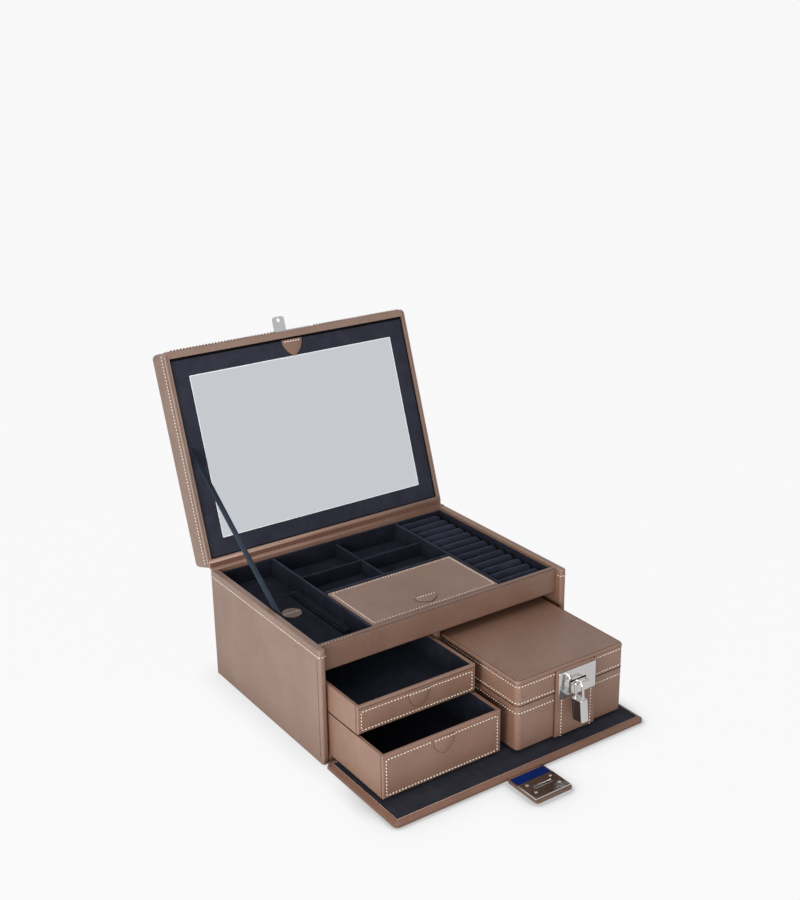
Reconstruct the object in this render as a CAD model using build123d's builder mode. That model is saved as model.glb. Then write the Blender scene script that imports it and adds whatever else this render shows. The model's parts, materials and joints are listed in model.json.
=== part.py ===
# Leather jewellery box with a mirror lid, a fall flap, two drawers and a locked travel case.
# The box is drawn in its open display pose. Origin: centre of the case's underside.
# +X is right, +Y is towards the back wall, +Z is up. Millimetres.
from build123d import *
from math import cos, sin, radians
import os

os.makedirs("parts", exist_ok=True)

# Outer case
WIDTH = 292.0
DEPTH = 213.5
HEIGHT = 118.5
SIDE_WALL = 7.0
BACK_WALL = 6.0
BASE = 8.6
RAIL_SETBACK = 7.5
RAIL = 7.0
RAIL_FOOT = 91.5
DECK = 3.0
SKIN = 0.8

# Tray
LINING_TOP = 114.6
LOW_TOP = 110.5
DIVIDER = 4.0
THIN = 2.4
ROLL_R = 5.3
ROLL_PITCH = 14.2
ROLLS = 13

# Lid
LID_LENGTH = 224.0
LID_HALF = 147.0
LID_THICK = 32.6
LID_TOP = 4.0
LID_WALL = 5.0
LID_FRONT_WALL = 7.5
LID_OPEN = 108.5
PANEL_FACE = 3.0
PANEL_THICK = 4.5

# Flap and its clasp
FLAP_AXIS_Y = -110.3
FLAP_AXIS_Z = 3.0
FLAP_HALF = 146.0
FLAP_FRONT = -225.2
FLAP_THICK = 5.2
CLASP_X = -5.5
STAPLE_X = -2.9

# Drawers
DRAWER_X = (-138.0, -7.2)
DRAWER_DEPTH = 186.0
UPPER_Z = (54.4, 82.4)
LOWER_Z = (8.9, 52.5)
UPPER_FRONT = -155.6
LOWER_FRONT = -194.0

# Travel case and its padlock
TRAVEL_X = (3.2, 134.2)
TRAVEL_Z = (8.9, 81.5)
TRAVEL_SEAM = 56.0
TRAVEL_FRONT = -204.5
TRAVEL_DEPTH = 176.0
TAB_X = 72.0
HASP_Z = 64.5
HANG_X = 66.2
HANG_Y = -217.5
HANG_Z = 63.6
LEAN = 6.0
WIRE_R = 1.5
BEND_R = 4.8

# Derived positions
HALF_W = WIDTH / 2
HALF_D = DEPTH / 2
INNER_X = HALF_W - SIDE_WALL
INNER_BACK = HALF_D - BACK_WALL
RAIL_FRONT = -HALF_D + RAIL_SETBACK
RAIL_BACK = RAIL_FRONT + RAIL
DECK_TOP = RAIL_FOOT + DECK
TRAY_FLOOR = DECK_TOP + SKIN

# The lid is drawn in its own closed frame: x as the case, y forward from the hinge is negative,
# z is the height above the rim. This plane turns that frame to the open angle.
LID = Plane(
    origin=(0, HALF_D, HEIGHT),
    x_dir=(1, 0, 0),
    z_dir=(0, sin(radians(LID_OPEN)), cos(radians(LID_OPEN))),
)
LID_UP = Axis((0, 0, 0), (0, sin(radians(LID_OPEN)), cos(radians(LID_OPEN))))


def block(x, y, z, mode=Mode.ADD):
    """A box between two limits on each axis, in the piece being built."""
    with Locations(((x[0] + x[1]) / 2, (y[0] + y[1]) / 2, (z[0] + z[1]) / 2)):
        Box(x[1] - x[0], y[1] - y[0], z[1] - z[0], mode=mode)


def lid_slab(x, b, t, corner=0.0, mode=Mode.ADD):
    """A slab in the lid: x limits, distance b from the hinge, height t above the rim."""
    with BuildSketch(LID.offset(t[0])) as outline:
        with Locations(((x[0] + x[1]) / 2, -(b[0] + b[1]) / 2)):
            if corner:
                RectangleRounded(x[1] - x[0], b[1] - b[0], corner)
            else:
                Rectangle(x[1] - x[0], b[1] - b[0])
    extrude(outline.sketch, amount=t[1] - t[0], mode=mode)


def tab_outline(width, depth):
    """A shield-shaped pull with its sewn edge on y 0, bowed sides and a small round tip at -y."""
    with BuildSketch() as outline:
        with BuildLine():
            low = -0.05 * depth
            bow = (0.291 * width, -0.61 * depth)
            Polyline((-width / 2, low), (-width / 2, 0), (width / 2, 0), (width / 2, low))
            ThreePointArc((width / 2, low), bow, (0, -1.08 * depth))
            ThreePointArc((0, -1.08 * depth), (-bow[0], bow[1]), (-width / 2, low))
        make_face()
        fillet(outline.vertices().sort_by(Axis.Y)[0], radius=3.8)
    return outline.sketch


# Case: base board
with BuildPart() as base_board:
    block((-INNER_X, INNER_X), (-HALF_D, INNER_BACK), (0, BASE))
    block((-INNER_X, INNER_X), (-HALF_D - 1, -96), (-1, 1.0), mode=Mode.SUBTRACT)
    front_top = base_board.edges().filter_by(Axis.X).group_by(Axis.Z)[-1].sort_by(Axis.Y)[0]
    fillet(front_top, radius=1.5)
base_board.part.label = "base_board"
export_step(base_board.part, "parts/base_board.step")


# Case: the two side walls, rounded where the leather turns their upright edges
def side_wall(side):
    """One side wall; side is -1 for left and 1 for right."""
    with BuildPart() as wall:
        with BuildSketch(Plane.XY) as outline:
            with Locations((side * (HALF_W - SIDE_WALL / 2), 0)):
                Rectangle(SIDE_WALL, DEPTH)
            fillet(outline.vertices().group_by(Axis.Y)[0], radius=2.5)
            back_pair = outline.vertices().group_by(Axis.Y)[-1].sort_by(Axis.X)
            fillet(back_pair[0] if side < 0 else back_pair[-1], radius=3.0)
        extrude(amount=HEIGHT)
        chamfer(wall.faces().sort_by(Axis.Z)[-1].edges(), length=0.7)
    return wall


left_wall = side_wall(-1)
left_wall.part.label = "left_wall"
export_step(left_wall.part, "parts/left_wall.step")

right_wall = side_wall(1)
right_wall.part.label = "right_wall"
export_step(right_wall.part, "parts/right_wall.step")

# Case: back wall, scooped along its top edge for the hinge leather
with BuildPart() as back_wall:
    block((-INNER_X, INNER_X), (INNER_BACK, HALF_D), (0, HEIGHT))
    with BuildSketch(Plane.YZ.offset(-INNER_X)):
        with Locations((HALF_D, HEIGHT)):
            Circle(2.6)
    extrude(amount=2 * INNER_X, mode=Mode.SUBTRACT)
back_wall.part.label = "back_wall"
export_step(back_wall.part, "parts/back_wall.step")

# Case: the rail that closes the tray above the drawer bays
with BuildPart() as front_rail:
    block((-INNER_X, INNER_X), (RAIL_FRONT, RAIL_BACK), (RAIL_FOOT, HEIGHT - 0.5))
    fillet(front_rail.edges().filter_by(Axis.X), radius=1.8)
front_rail.part.label = "front_rail"
export_step(front_rail.part, "parts/front_rail.step")

# Case: deck under the tray, wall between the bays, shelf between the drawers
with BuildPart() as deck_board:
    block((-INNER_X, INNER_X), (RAIL_BACK, INNER_BACK), (RAIL_FOOT, DECK_TOP))
deck_board.part.label = "deck_board"
export_step(deck_board.part, "parts/deck_board.step")

with BuildPart() as bay_divider:
    block((-6, 1), (-90, INNER_BACK), (BASE, RAIL_FOOT))
    fillet(bay_divider.edges().filter_by(Axis.Z).group_by(Axis.Y)[0], radius=2.0)
bay_divider.part.label = "bay_divider"
export_step(bay_divider.part, "parts/bay_divider.step")

with BuildPart() as drawer_shelf:
    block((-INNER_X, -6), (-91 + 1.0, INNER_BACK), (52.9, 54.1))
drawer_shelf.part.label = "drawer_shelf"
export_step(drawer_shelf.part, "parts/drawer_shelf.step")

# Tray: suede floor and the suede-covered boards along the walls
with BuildPart() as tray_floor_lining:
    block((-INNER_X, INNER_X), (RAIL_BACK, INNER_BACK), (DECK_TOP, TRAY_FLOOR))
tray_floor_lining.part.label = "tray_floor_lining"
export_step(tray_floor_lining.part, "parts/tray_floor_lining.step")

# The front board carries the ledge that the tray lid rests on
with BuildPart() as tray_front_lining:
    block((-INNER_X, INNER_X), (RAIL_BACK, -90.25), (TRAY_FLOOR, LINING_TOP))
    block((79.5, INNER_X), (-90.25, -87.6), (TRAY_FLOOR, LINING_TOP))
    block((-75.5, 75.5), (-90.25, -84.0), (106.5, LOW_TOP))
tray_front_lining.part.label = "tray_front_lining"
export_step(tray_front_lining.part, "parts/tray_front_lining.step")

with BuildPart() as tray_back_lining:
    block((-INNER_X, INNER_X), (98.0, INNER_BACK), (TRAY_FLOOR, LINING_TOP))
tray_back_lining.part.label = "tray_back_lining"
export_step(tray_back_lining.part, "parts/tray_back_lining.step")

with BuildPart() as tray_left_lining:
    block((-INNER_X, -INNER_X + 2), (-90.25, 98.0), (TRAY_FLOOR, LINING_TOP))
tray_left_lining.part.label = "tray_left_lining"
export_step(tray_left_lining.part, "parts/tray_left_lining.step")

with BuildPart() as tray_right_lining:
    block((INNER_X - 2, INNER_X), (-87.6, 98.0), (TRAY_FLOOR, LINING_TOP))
tray_right_lining.part.label = "tray_right_lining"
export_step(tray_right_lining.part, "parts/tray_right_lining.step")

# Tray: padded dividers with round tops
with BuildPart() as left_divider:
    block((-79.5, -75.5), (-90.25, 98.0), (TRAY_FLOOR, LINING_TOP))
    fillet(left_divider.edges().filter_by(Axis.Y).group_by(Axis.Z)[-1], radius=1.9)
left_divider.part.label = "left_divider"
export_step(left_divider.part, "parts/left_divider.step")

with BuildPart() as right_divider:
    block((75.5, 79.5), (-90.25, 98.0), (TRAY_FLOOR, LINING_TOP))
    fillet(right_divider.edges().filter_by(Axis.Y).group_by(Axis.Z)[-1], radius=1.9)
right_divider.part.label = "right_divider"
export_step(right_divider.part, "parts/right_divider.step")

with BuildPart() as cross_divider:
    block((-75.5, 75.5), (-3.5, 0.5), (TRAY_FLOOR, LINING_TOP))
    fillet(cross_divider.edges().filter_by(Axis.X).group_by(Axis.Z)[-1], radius=1.9)
cross_divider.part.label = "cross_divider"
export_step(cross_divider.part, "parts/cross_divider.step")

# Tray: the two lower dividers halved over each other behind the cross divider
LAP = (TRAY_FLOOR + LOW_TOP) / 2
with BuildPart() as mid_divider:
    block((-75.5, 75.5), (47.5, 47.5 + THIN), (TRAY_FLOOR, LOW_TOP))
    fillet(mid_divider.edges().filter_by(Axis.X).group_by(Axis.Z)[-1], radius=1.1)
    block((-THIN / 2, THIN / 2), (46, 52), (LAP, LOW_TOP + 1), mode=Mode.SUBTRACT)
mid_divider.part.label = "mid_divider"
export_step(mid_divider.part, "parts/mid_divider.step")

with BuildPart() as centre_divider:
    block((-THIN / 2, THIN / 2), (0.5, 98.0), (TRAY_FLOOR, LOW_TOP))
    fillet(centre_divider.edges().filter_by(Axis.Y).group_by(Axis.Z)[-1], radius=1.1)
    block((-3, 3), (47.5, 47.5 + THIN), (TRAY_FLOOR - 1, LAP), mode=Mode.SUBTRACT)
centre_divider.part.label = "centre_divider"
export_step(centre_divider.part, "parts/centre_divider.step")

# Tray: ring pad, a board with thirteen stuffed rolls; each roll ends in a bevelled nose
ROLL_NOSE = 133.0
ROLL_FOOT = 97.6
ROLL_AXIS = 107.2
with BuildPart() as ring_pad:
    block((79.5, INNER_X - 2), (-87.6, 98.0), (TRAY_FLOOR, ROLL_FOOT))
    roll_places = [92.0 - ROLL_PITCH * k for k in range(ROLLS)]
    with BuildSketch(Plane.YZ.offset(80.5)):
        with Locations(*[(y, (ROLL_FOOT + ROLL_AXIS) / 2) for y in roll_places]):
            Rectangle(2 * ROLL_R, ROLL_AXIS - ROLL_FOOT)
        with Locations(*[(y, ROLL_AXIS) for y in roll_places]):
            Circle(ROLL_R)
    extrude(amount=ROLL_NOSE - 80.5)
    noses = [face for face in ring_pad.faces() if face.center().X > ROLL_NOSE - 0.1 and face.center().Z > 99]
    chamfer([e for face in noses for e in face.edges() if e.center().Z > ROLL_FOOT + 0.1], length=2.0)
ring_pad.part.label = "ring_pad"
export_step(ring_pad.part, "parts/ring_pad.step")

# Tray: earring strip at the foot of the left divider, slit across
with BuildPart() as earring_strip:
    block((-90.4, -79.5), (-56.0, 46.0), (TRAY_FLOOR, 100.4))
    chamfer(earring_strip.edges().filter_by(Axis.Y).group_by(Axis.Z)[-1], length=0.6)
    for k in range(18):
        slit = -50.75 + 5.4 * k
        block((-91, -79), (slit, slit + 0.8), (97.4, 101), mode=Mode.SUBTRACT)
earring_strip.part.label = "earring_strip"
export_step(earring_strip.part, "parts/earring_strip.step")

# Tray: loose floor panel of the left compartment with its leather lifting disc
with BuildPart() as floor_panel:
    block((-135.6, -91.0), (-89.8, 97.6), (TRAY_FLOOR, 97.6))
    fillet(floor_panel.edges().filter_by(Axis.Z), radius=1.0)
floor_panel.part.label = "floor_panel"
export_step(floor_panel.part, "parts/floor_panel.step")

with BuildPart() as floor_panel_disc:
    with BuildSketch(Plane.XY.offset(97.6)):
        with Locations((-108.4, 7.5)):
            Circle(10.0)
    extrude(amount=1.2)
    chamfer(floor_panel_disc.faces().sort_by(Axis.Z)[-1].edges(), length=0.3)
floor_panel_disc.part.label = "floor_panel_disc"
export_step(floor_panel_disc.part, "parts/floor_panel_disc.step")

# Tray: leather lid over the front compartment, with a pull tab
with BuildPart() as tray_lid:
    with BuildSketch(Plane.XY.offset(110.6)):
        with Locations((0, -45.75)):
            RectangleRounded(150.0, 82.5, 1.5)
    extrude(amount=4.0)
    chamfer(tray_lid.faces().sort_by(Axis.Z)[-1].edges(), length=0.8)
tray_lid.part.label = "tray_lid"
export_step(tray_lid.part, "parts/tray_lid.step")

with BuildPart() as tray_lid_tab:
    with BuildSketch(Plane.XY.offset(114.6)):
        with Locations((-1.0, -66.0)):
            add(tab_outline(24.5, 13.0))
    extrude(amount=1.8)
    chamfer(tray_lid_tab.faces().sort_by(Axis.Z)[-1].edges(), length=0.4)
tray_lid_tab.part.label = "tray_lid_tab"
export_step(tray_lid_tab.part, "parts/tray_lid_tab.step")

# Hinge leathers: a round spine on each axis and the strip that holds it
with BuildPart() as lid_hinge_leather:
    with BuildSketch(Plane.YZ.offset(-INNER_X)):
        with Locations((HALF_D, HEIGHT)):
            Circle(2.6)
        with Locations((INNER_BACK + 2.9, HEIGHT + 0.2)):
            Rectangle(5.8, 0.4)
    extrude(amount=2 * INNER_X)
lid_hinge_leather.part.label = "lid_hinge_leather"
export_step(lid_hinge_leather.part, "parts/lid_hinge_leather.step")

with BuildPart() as flap_hinge_leather:
    with BuildSketch(Plane.YZ.offset(-FLAP_HALF + 0.5)):
        with Locations((FLAP_AXIS_Y, FLAP_AXIS_Z)):
            Circle(3.0)
    extrude(amount=2 * FLAP_HALF - 1.0)
    block((-138.6, 138.6), (FLAP_AXIS_Y, -96), (0, 1.0))
flap_hinge_leather.part.label = "flap_hinge_leather"
export_step(flap_hinge_leather.part, "parts/flap_hinge_leather.step")

# Lid: top board, frame, lining and the staple on its front
with BuildPart() as lid_top:
    lid_slab((-LID_HALF, LID_HALF), (0, LID_LENGTH), (LID_THICK - LID_TOP, LID_THICK), 5.0)
    fillet(lid_top.faces().sort_by(LID_UP)[-1].edges(), radius=2.5)
lid_top.part.label = "lid_top"
export_step(lid_top.part, "parts/lid_top.step")

with BuildPart() as lid_frame:
    lid_slab((-LID_HALF, LID_HALF), (0, LID_LENGTH), (0.5, LID_THICK - LID_TOP), 5.0)
    chamfer(lid_frame.faces().sort_by(LID_UP)[0].edges(), length=0.7)
    inner = (-LID_HALF + LID_WALL, LID_HALF - LID_WALL)
    front_face = LID_LENGTH - LID_FRONT_WALL
    lid_slab(inner, (9.0, front_face), (0, LID_THICK), mode=Mode.SUBTRACT)
    lid_slab((-60, 60), (front_face - 2.5, front_face), (7.8, 10.0))
    with BuildSketch(Plane.YZ.offset(-INNER_X - 0.2)):
        with Locations((HALF_D, HEIGHT)):
            Circle(2.9)
    extrude(amount=2 * INNER_X + 0.4, mode=Mode.SUBTRACT)
lid_frame.part.label = "lid_frame"
export_step(lid_frame.part, "parts/lid_frame.step")

with BuildPart() as lid_lining:
    lid_slab(inner, (9.0, front_face), (27.8, LID_THICK - LID_TOP))
lid_lining.part.label = "lid_lining"
export_step(lid_lining.part, "parts/lid_lining.step")

with BuildPart() as lid_staple:
    lid_slab((STAPLE_X - 7, STAPLE_X + 7), (LID_LENGTH, 240.5), (16.4, 17.6))
    tip = lid_staple.edges().filter_by(LID_UP).sort_by(Axis.Z)[-2:]
    fillet(tip, radius=3.0)
    with BuildSketch(LID.offset(15)):
        with Locations((STAPLE_X, -236.6)):
            Circle(2.2)
    extrude(amount=4, mode=Mode.SUBTRACT)
    lid_slab((STAPLE_X - 10, STAPLE_X + 10), (LID_LENGTH, LID_LENGTH + 0.8), (13.5, 20.5))
lid_staple.part.label = "lid_staple"
export_step(lid_staple.part, "parts/lid_staple.step")

# Mirror panel: suede board with a notch for the strap, inset glass and a pull tab
with BuildPart() as mirror_board:
    lid_slab((-141.1, 141.1), (9.7, 216.1), (PANEL_FACE, PANEL_FACE + PANEL_THICK), 1.0)
    lid_slab((-123.3, 123.3), (27.2, 196.4), (PANEL_FACE - 1, PANEL_FACE + 1.6), 1.0, Mode.SUBTRACT)
    lid_slab((-142, -135.4), (109.6, 125.4), (PANEL_FACE - 1, PANEL_FACE + 6), mode=Mode.SUBTRACT)
mirror_board.part.label = "mirror_board"
export_step(mirror_board.part, "parts/mirror_board.step")

with BuildPart() as mirror_glass:
    lid_slab((-123.3, 123.3), (27.2, 196.4), (PANEL_FACE + 0.1, PANEL_FACE + 1.6), 1.0)
mirror_glass.part.label = "mirror_glass"
export_step(mirror_glass.part, "parts/mirror_glass.step")

with BuildPart() as mirror_tab:
    with BuildSketch(LID.offset(PANEL_FACE - 1.8)):
        with Locations(Location((0.5, -214.3, 0), (0, 0, 180))):
            add(tab_outline(24.0, 18.0))
    extrude(amount=1.8)
    chamfer(mirror_tab.faces().sort_by(LID_UP)[0].edges(), length=0.4)
mirror_tab.part.label = "mirror_tab"
export_step(mirror_tab.part, "parts/mirror_tab.step")


# Strap that holds the lid open, flat against the left wall and up into the lid
def lid_point(b, t):
    """The (y, z) place of a point at distance b from the lid hinge and height t above the rim."""
    turn = radians(LID_OPEN)
    return (HALF_D - b * cos(turn) + t * sin(turn), HEIGHT + b * sin(turn) + t * cos(turn))


STRAP_FOOT = (-34.0, 104.0)
STRAP_RISE = (0.828, 0.561)
with BuildPart() as lid_strap:
    foot_low = (STRAP_FOOT[0] + 5 * STRAP_RISE[1], STRAP_FOOT[1] - 5 * STRAP_RISE[0])
    foot_high = (STRAP_FOOT[0] - 5 * STRAP_RISE[1], STRAP_FOOT[1] + 5 * STRAP_RISE[0])
    with BuildSketch(Plane.YZ.offset(-136.9)):
        with BuildLine():
            Polyline(
                foot_low,
                lid_point(110.8, 2.6),
                lid_point(110.8, 7.4),
                lid_point(124.2, 7.4),
                lid_point(124.2, 2.6),
                foot_high,
                close=True,
            )
        make_face()
    extrude(amount=0.8)
lid_strap.part.label = "lid_strap"
export_step(lid_strap.part, "parts/lid_strap.step")

# Fall flap: board with long sloping edges around a sunk lining, tongue for the clasp
FLAP_BACK = -113.7
FLAP_SLOPE = 4.0
TONGUE_Y = -227.8
LINING_X = (-FLAP_HALF + FLAP_SLOPE + 0.6, FLAP_HALF - FLAP_SLOPE - 0.6)
LINING_Y = (FLAP_FRONT + FLAP_SLOPE + 0.6, FLAP_BACK - 1.6)
with BuildPart() as flap_board:
    block((-FLAP_HALF, FLAP_HALF), (FLAP_FRONT, FLAP_BACK), (0, FLAP_THICK))
    fillet(flap_board.edges().filter_by(Axis.Z).group_by(Axis.Y)[0], radius=5.0)
    top = flap_board.faces().sort_by(Axis.Z)[-1]
    sloped = [edge for edge in top.edges() if edge.center().Y < FLAP_BACK - 1]
    chamfer(sloped, length=FLAP_SLOPE, length2=2.2, reference=top)
    block(LINING_X, LINING_Y, (FLAP_THICK - 0.6, 10), mode=Mode.SUBTRACT)
    block((CLASP_X - 18, CLASP_X + 18), (TONGUE_Y, FLAP_FRONT + 1), (1.2, 2.9))
    with BuildSketch(Plane.YZ.offset(CLASP_X - 18)):
        with Locations((TONGUE_Y, 2.3)):
            Circle(1.1)
    extrude(amount=36)
flap_board.part.label = "flap_board"
export_step(flap_board.part, "parts/flap_board.step")

with BuildPart() as flap_lining:
    block(LINING_X, LINING_Y, (FLAP_THICK - 0.6, FLAP_THICK))
flap_lining.part.label = "flap_lining"
export_step(flap_lining.part, "parts/flap_lining.step")

# Clasp: leather tab between two slotted plates, held by four dome screws
SLOT_Y = -252.5
with BuildPart() as clasp_tab:
    with BuildSketch(Plane.XY.offset(1.2)) as tab_shape:
        with Locations((CLASP_X, (-229.3 - 269.5) / 2)):
            Rectangle(42.0, 40.2)
        fillet(tab_shape.vertices().group_by(Axis.Y)[0], radius=3.0)
        with Locations((CLASP_X, SLOT_Y)):
            Rectangle(20.8, 4.0, mode=Mode.SUBTRACT)
    extrude(amount=2.4)
clasp_tab.part.label = "clasp_tab"
export_step(clasp_tab.part, "parts/clasp_tab.step")

with BuildPart() as clasp_lining:
    block((CLASP_X - 19, CLASP_X + 19), (-241.0, -229.8), (3.6, 4.2))
clasp_lining.part.label = "clasp_lining"
export_step(clasp_lining.part, "parts/clasp_lining.step")


def clasp_plate(z, thick, rim):
    """One slotted clasp plate, with bevelled edges on its visible side."""
    with BuildPart() as plate:
        with BuildSketch(Plane.XY.offset(z)):
            with Locations((CLASP_X, -254.3)):
                RectangleRounded(41.0, 26.0, 1.2)
            with Locations((CLASP_X, SLOT_Y)):
                Rectangle(19.8, 3.2, mode=Mode.SUBTRACT)
        extrude(amount=thick)
        chamfer(plate.faces().sort_by(Axis.Z)[rim].outer_wire().edges(), length=0.5)
    return plate


clasp_inner_plate = clasp_plate(3.6, 1.4, -1)
clasp_inner_plate.part.label = "clasp_inner_plate"
export_step(clasp_inner_plate.part, "parts/clasp_inner_plate.step")

clasp_outer_plate = clasp_plate(0.0, 1.2, 0)
clasp_outer_plate.part.label = "clasp_outer_plate"
export_step(clasp_outer_plate.part, "parts/clasp_outer_plate.step")

with BuildPart() as clasp_screws:
    for sx in (-13.6, 13.6):
        for sy in (-246.5, -258.9):
            with BuildSketch(Plane.XY.offset(5.0)):
                with Locations((CLASP_X + sx, sy)):
                    Circle(1.7)
            extrude(amount=0.9)
    chamfer(clasp_screws.faces().group_by(Axis.Z)[-1].edges(), length=0.5)
clasp_screws.part.label = "clasp_screws"
export_step(clasp_screws.part, "parts/clasp_screws.step")


# Drawers: front board, three-sided box with a bottom, suede lining, leather pull tab
def drawer(name, front, z, tab_x, tab_top, tab_depth):
    """One drawer with its front face at y = front and its tray between the z limits."""
    x0, x1 = DRAWER_X
    z0, z1 = z
    back = front + DRAWER_DEPTH
    with BuildPart() as face:
        block((x0, x1), (front, front + 3.0), (z0, z1))
        chamfer(face.faces().sort_by(Axis.Y)[0].edges(), length=0.8)
    face.part.label = name + "_front"
    export_step(face.part, "parts/" + name + "_front.step")

    with BuildPart() as box:
        block((x0, x1), (front + 3.0, back), (z0, z1))
        block((x0 + 3, x1 - 3), (front, back - 3), (z0 + 2.4, z1 + 1), mode=Mode.SUBTRACT)
    box.part.label = name + "_box"
    export_step(box.part, "parts/" + name + "_box.step")

    with BuildPart() as lining:
        block((x0 + 3, x1 - 3), (front + 3, back - 3), (z0 + 2.4, z1 - 1))
        inner_x = (x0 + 3 + SKIN, x1 - 3 - SKIN)
        inner_y = (front + 3 + SKIN, back - 3 - SKIN)
        block(inner_x, inner_y, (z0 + 2.4 + SKIN, z1), mode=Mode.SUBTRACT)
    lining.part.label = name + "_lining"
    export_step(lining.part, "parts/" + name + "_lining.step")

    with BuildPart() as pull:
        with BuildSketch(Plane.XZ.offset(-front)):
            with Locations((tab_x, tab_top)):
                add(tab_outline(23.2, tab_depth))
        extrude(amount=2.0)
        chamfer(pull.faces().sort_by(Axis.Y)[0].edges(), length=0.4)
    pull.part.label = name + "_tab"
    export_step(pull.part, "parts/" + name + "_tab.step")


drawer("upper_drawer", UPPER_FRONT, UPPER_Z, -71.8, 77.4, 16.8)
drawer("lower_drawer", LOWER_FRONT, LOWER_Z, -72.3, 48.9, 17.0)

# Travel case: hollow base and lid with rounded upright corners
TRAVEL_MID_X = (TRAVEL_X[0] + TRAVEL_X[1]) / 2
TRAVEL_WIDTH = TRAVEL_X[1] - TRAVEL_X[0]
TRAVEL_BACK = TRAVEL_FRONT + TRAVEL_DEPTH
TRAVEL_MID_Y = (TRAVEL_FRONT + TRAVEL_BACK) / 2


def travel_slab(z, inset, corner, mode=Mode.ADD):
    """A rounded slab of the travel case between two heights, inset from its outline."""
    with BuildSketch(Plane.XY.offset(z[0])) as outline:
        with Locations((TRAVEL_MID_X, TRAVEL_MID_Y)):
            RectangleRounded(TRAVEL_WIDTH - 2 * inset, TRAVEL_DEPTH - 2 * inset, corner)
    extrude(outline.sketch, amount=z[1] - z[0], mode=mode)


with BuildPart() as travel_base:
    travel_slab((TRAVEL_Z[0], TRAVEL_SEAM - 0.2), 0, 5.0)
    chamfer(travel_base.faces().sort_by(Axis.Z)[0].edges(), length=1.2)
    chamfer(travel_base.faces().sort_by(Axis.Z)[-1].edges(), length=0.5)
    travel_slab((TRAVEL_Z[0] + 4.0, TRAVEL_SEAM), 3.0, 2.0, Mode.SUBTRACT)
    block((TAB_X - 24.3, TAB_X + 24.3), (TRAVEL_FRONT - 1, -180), (8, 10.5), mode=Mode.SUBTRACT)
travel_base.part.label = "travel_base"
export_step(travel_base.part, "parts/travel_base.step")

with BuildPart() as travel_lid:
    travel_slab((TRAVEL_SEAM, TRAVEL_Z[1]), 0, 5.0)
    fillet(travel_lid.faces().sort_by(Axis.Z)[-1].edges(), radius=2.2)
    chamfer(travel_lid.faces().sort_by(Axis.Z)[0].edges(), length=0.5)
    travel_slab((TRAVEL_SEAM - 1, TRAVEL_Z[1] - 3.5), 3.0, 2.0, Mode.SUBTRACT)
travel_lid.part.label = "travel_lid"
export_step(travel_lid.part, "parts/travel_lid.step")

with BuildPart() as travel_hinge_leather:
    block((TRAVEL_X[0] + 9, TRAVEL_X[1] - 9), (TRAVEL_BACK, TRAVEL_BACK + 1.2), (46, 66))
    fillet(travel_hinge_leather.edges().filter_by(Axis.Y), radius=2.0)
travel_hinge_leather.part.label = "travel_hinge_leather"
export_step(travel_hinge_leather.part, "parts/travel_hinge_leather.step")

# Closing strap of the travel case: from a recess under the base, round its foot and up the front
TAB_FACE = TRAVEL_FRONT - 2.8
with BuildPart() as travel_tab:
    block((TAB_X - 24, TAB_X + 24), (TAB_FACE, TRAVEL_FRONT), (8.9, 79.0))
    block((TAB_X - 24, TAB_X + 24), (TAB_FACE, -180.5), (8.9, 10.5))
    foot = travel_tab.edges().filter_by(Axis.X).sort_by(Axis.Z)
    fillet(foot.filter_by(lambda e: e.center().Y < TAB_FACE + 0.1 and e.center().Z < 9), radius=1.4)
    top_corners = travel_tab.edges().filter_by(Axis.Y).group_by(Axis.Z)[-1]
    fillet(top_corners, radius=3.0)
    hasp_slot = ((TAB_X - 11, TAB_X + 11), (HASP_Z - 2, HASP_Z + 2))
    block(hasp_slot[0], (TAB_FACE - 1, TRAVEL_FRONT + 1), hasp_slot[1], mode=Mode.SUBTRACT)
travel_tab.part.label = "travel_tab"
export_step(travel_tab.part, "parts/travel_tab.step")

with BuildPart() as travel_plate:
    with BuildSketch(Plane.XZ.offset(-TAB_FACE)):
        with Locations((TAB_X, 63.5)):
            RectangleRounded(45.4, 27.4, 1.2)
        with Locations((TAB_X, HASP_Z)):
            Rectangle(20.6, 3.2, mode=Mode.SUBTRACT)
    extrude(amount=2.0)
    chamfer(travel_plate.faces().sort_by(Axis.Y)[0].outer_wire().edges(), length=0.6)
travel_plate.part.label = "travel_plate"
export_step(travel_plate.part, "parts/travel_plate.step")

with BuildPart() as travel_staple:
    with BuildSketch(Plane.XY.offset(HASP_Z - 0.6)) as staple_shape:
        with Locations((TAB_X - 0.6, (TRAVEL_FRONT - 217.5) / 2)):
            Rectangle(18.0, 217.5 + TRAVEL_FRONT)
        fillet(staple_shape.vertices().group_by(Axis.Y)[0], radius=2.5)
        with Locations((TAB_X - 0.6, -212.8)):
            SlotOverall(15.0, 5.0, mode=Mode.SUBTRACT)
    extrude(amount=1.2)
travel_staple.part.label = "travel_staple"
export_step(travel_staple.part, "parts/travel_staple.step")

# Padlock, leaning slightly outwards as it hangs. It is drawn in its own frame: x as the case,
# y towards the case, z up along the legs, and z 0 at the centre of the shackle's bend.
LOCK = Plane(
    origin=(HANG_X, HANG_Y, HANG_Z),
    x_dir=(1, 0, 0),
    z_dir=(0, sin(radians(LEAN)), cos(radians(LEAN))),
)
LOCK_UP = Axis((0, 0, 0), (0, sin(radians(LEAN)), cos(radians(LEAN))))
LOCK_TOP = -12.7
LOCK_FOOT = -34.8
TOE_END = -17.2
HEEL_END = -25.0
LOCK_X = 9.0
LOCK_Y = 14.6

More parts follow.
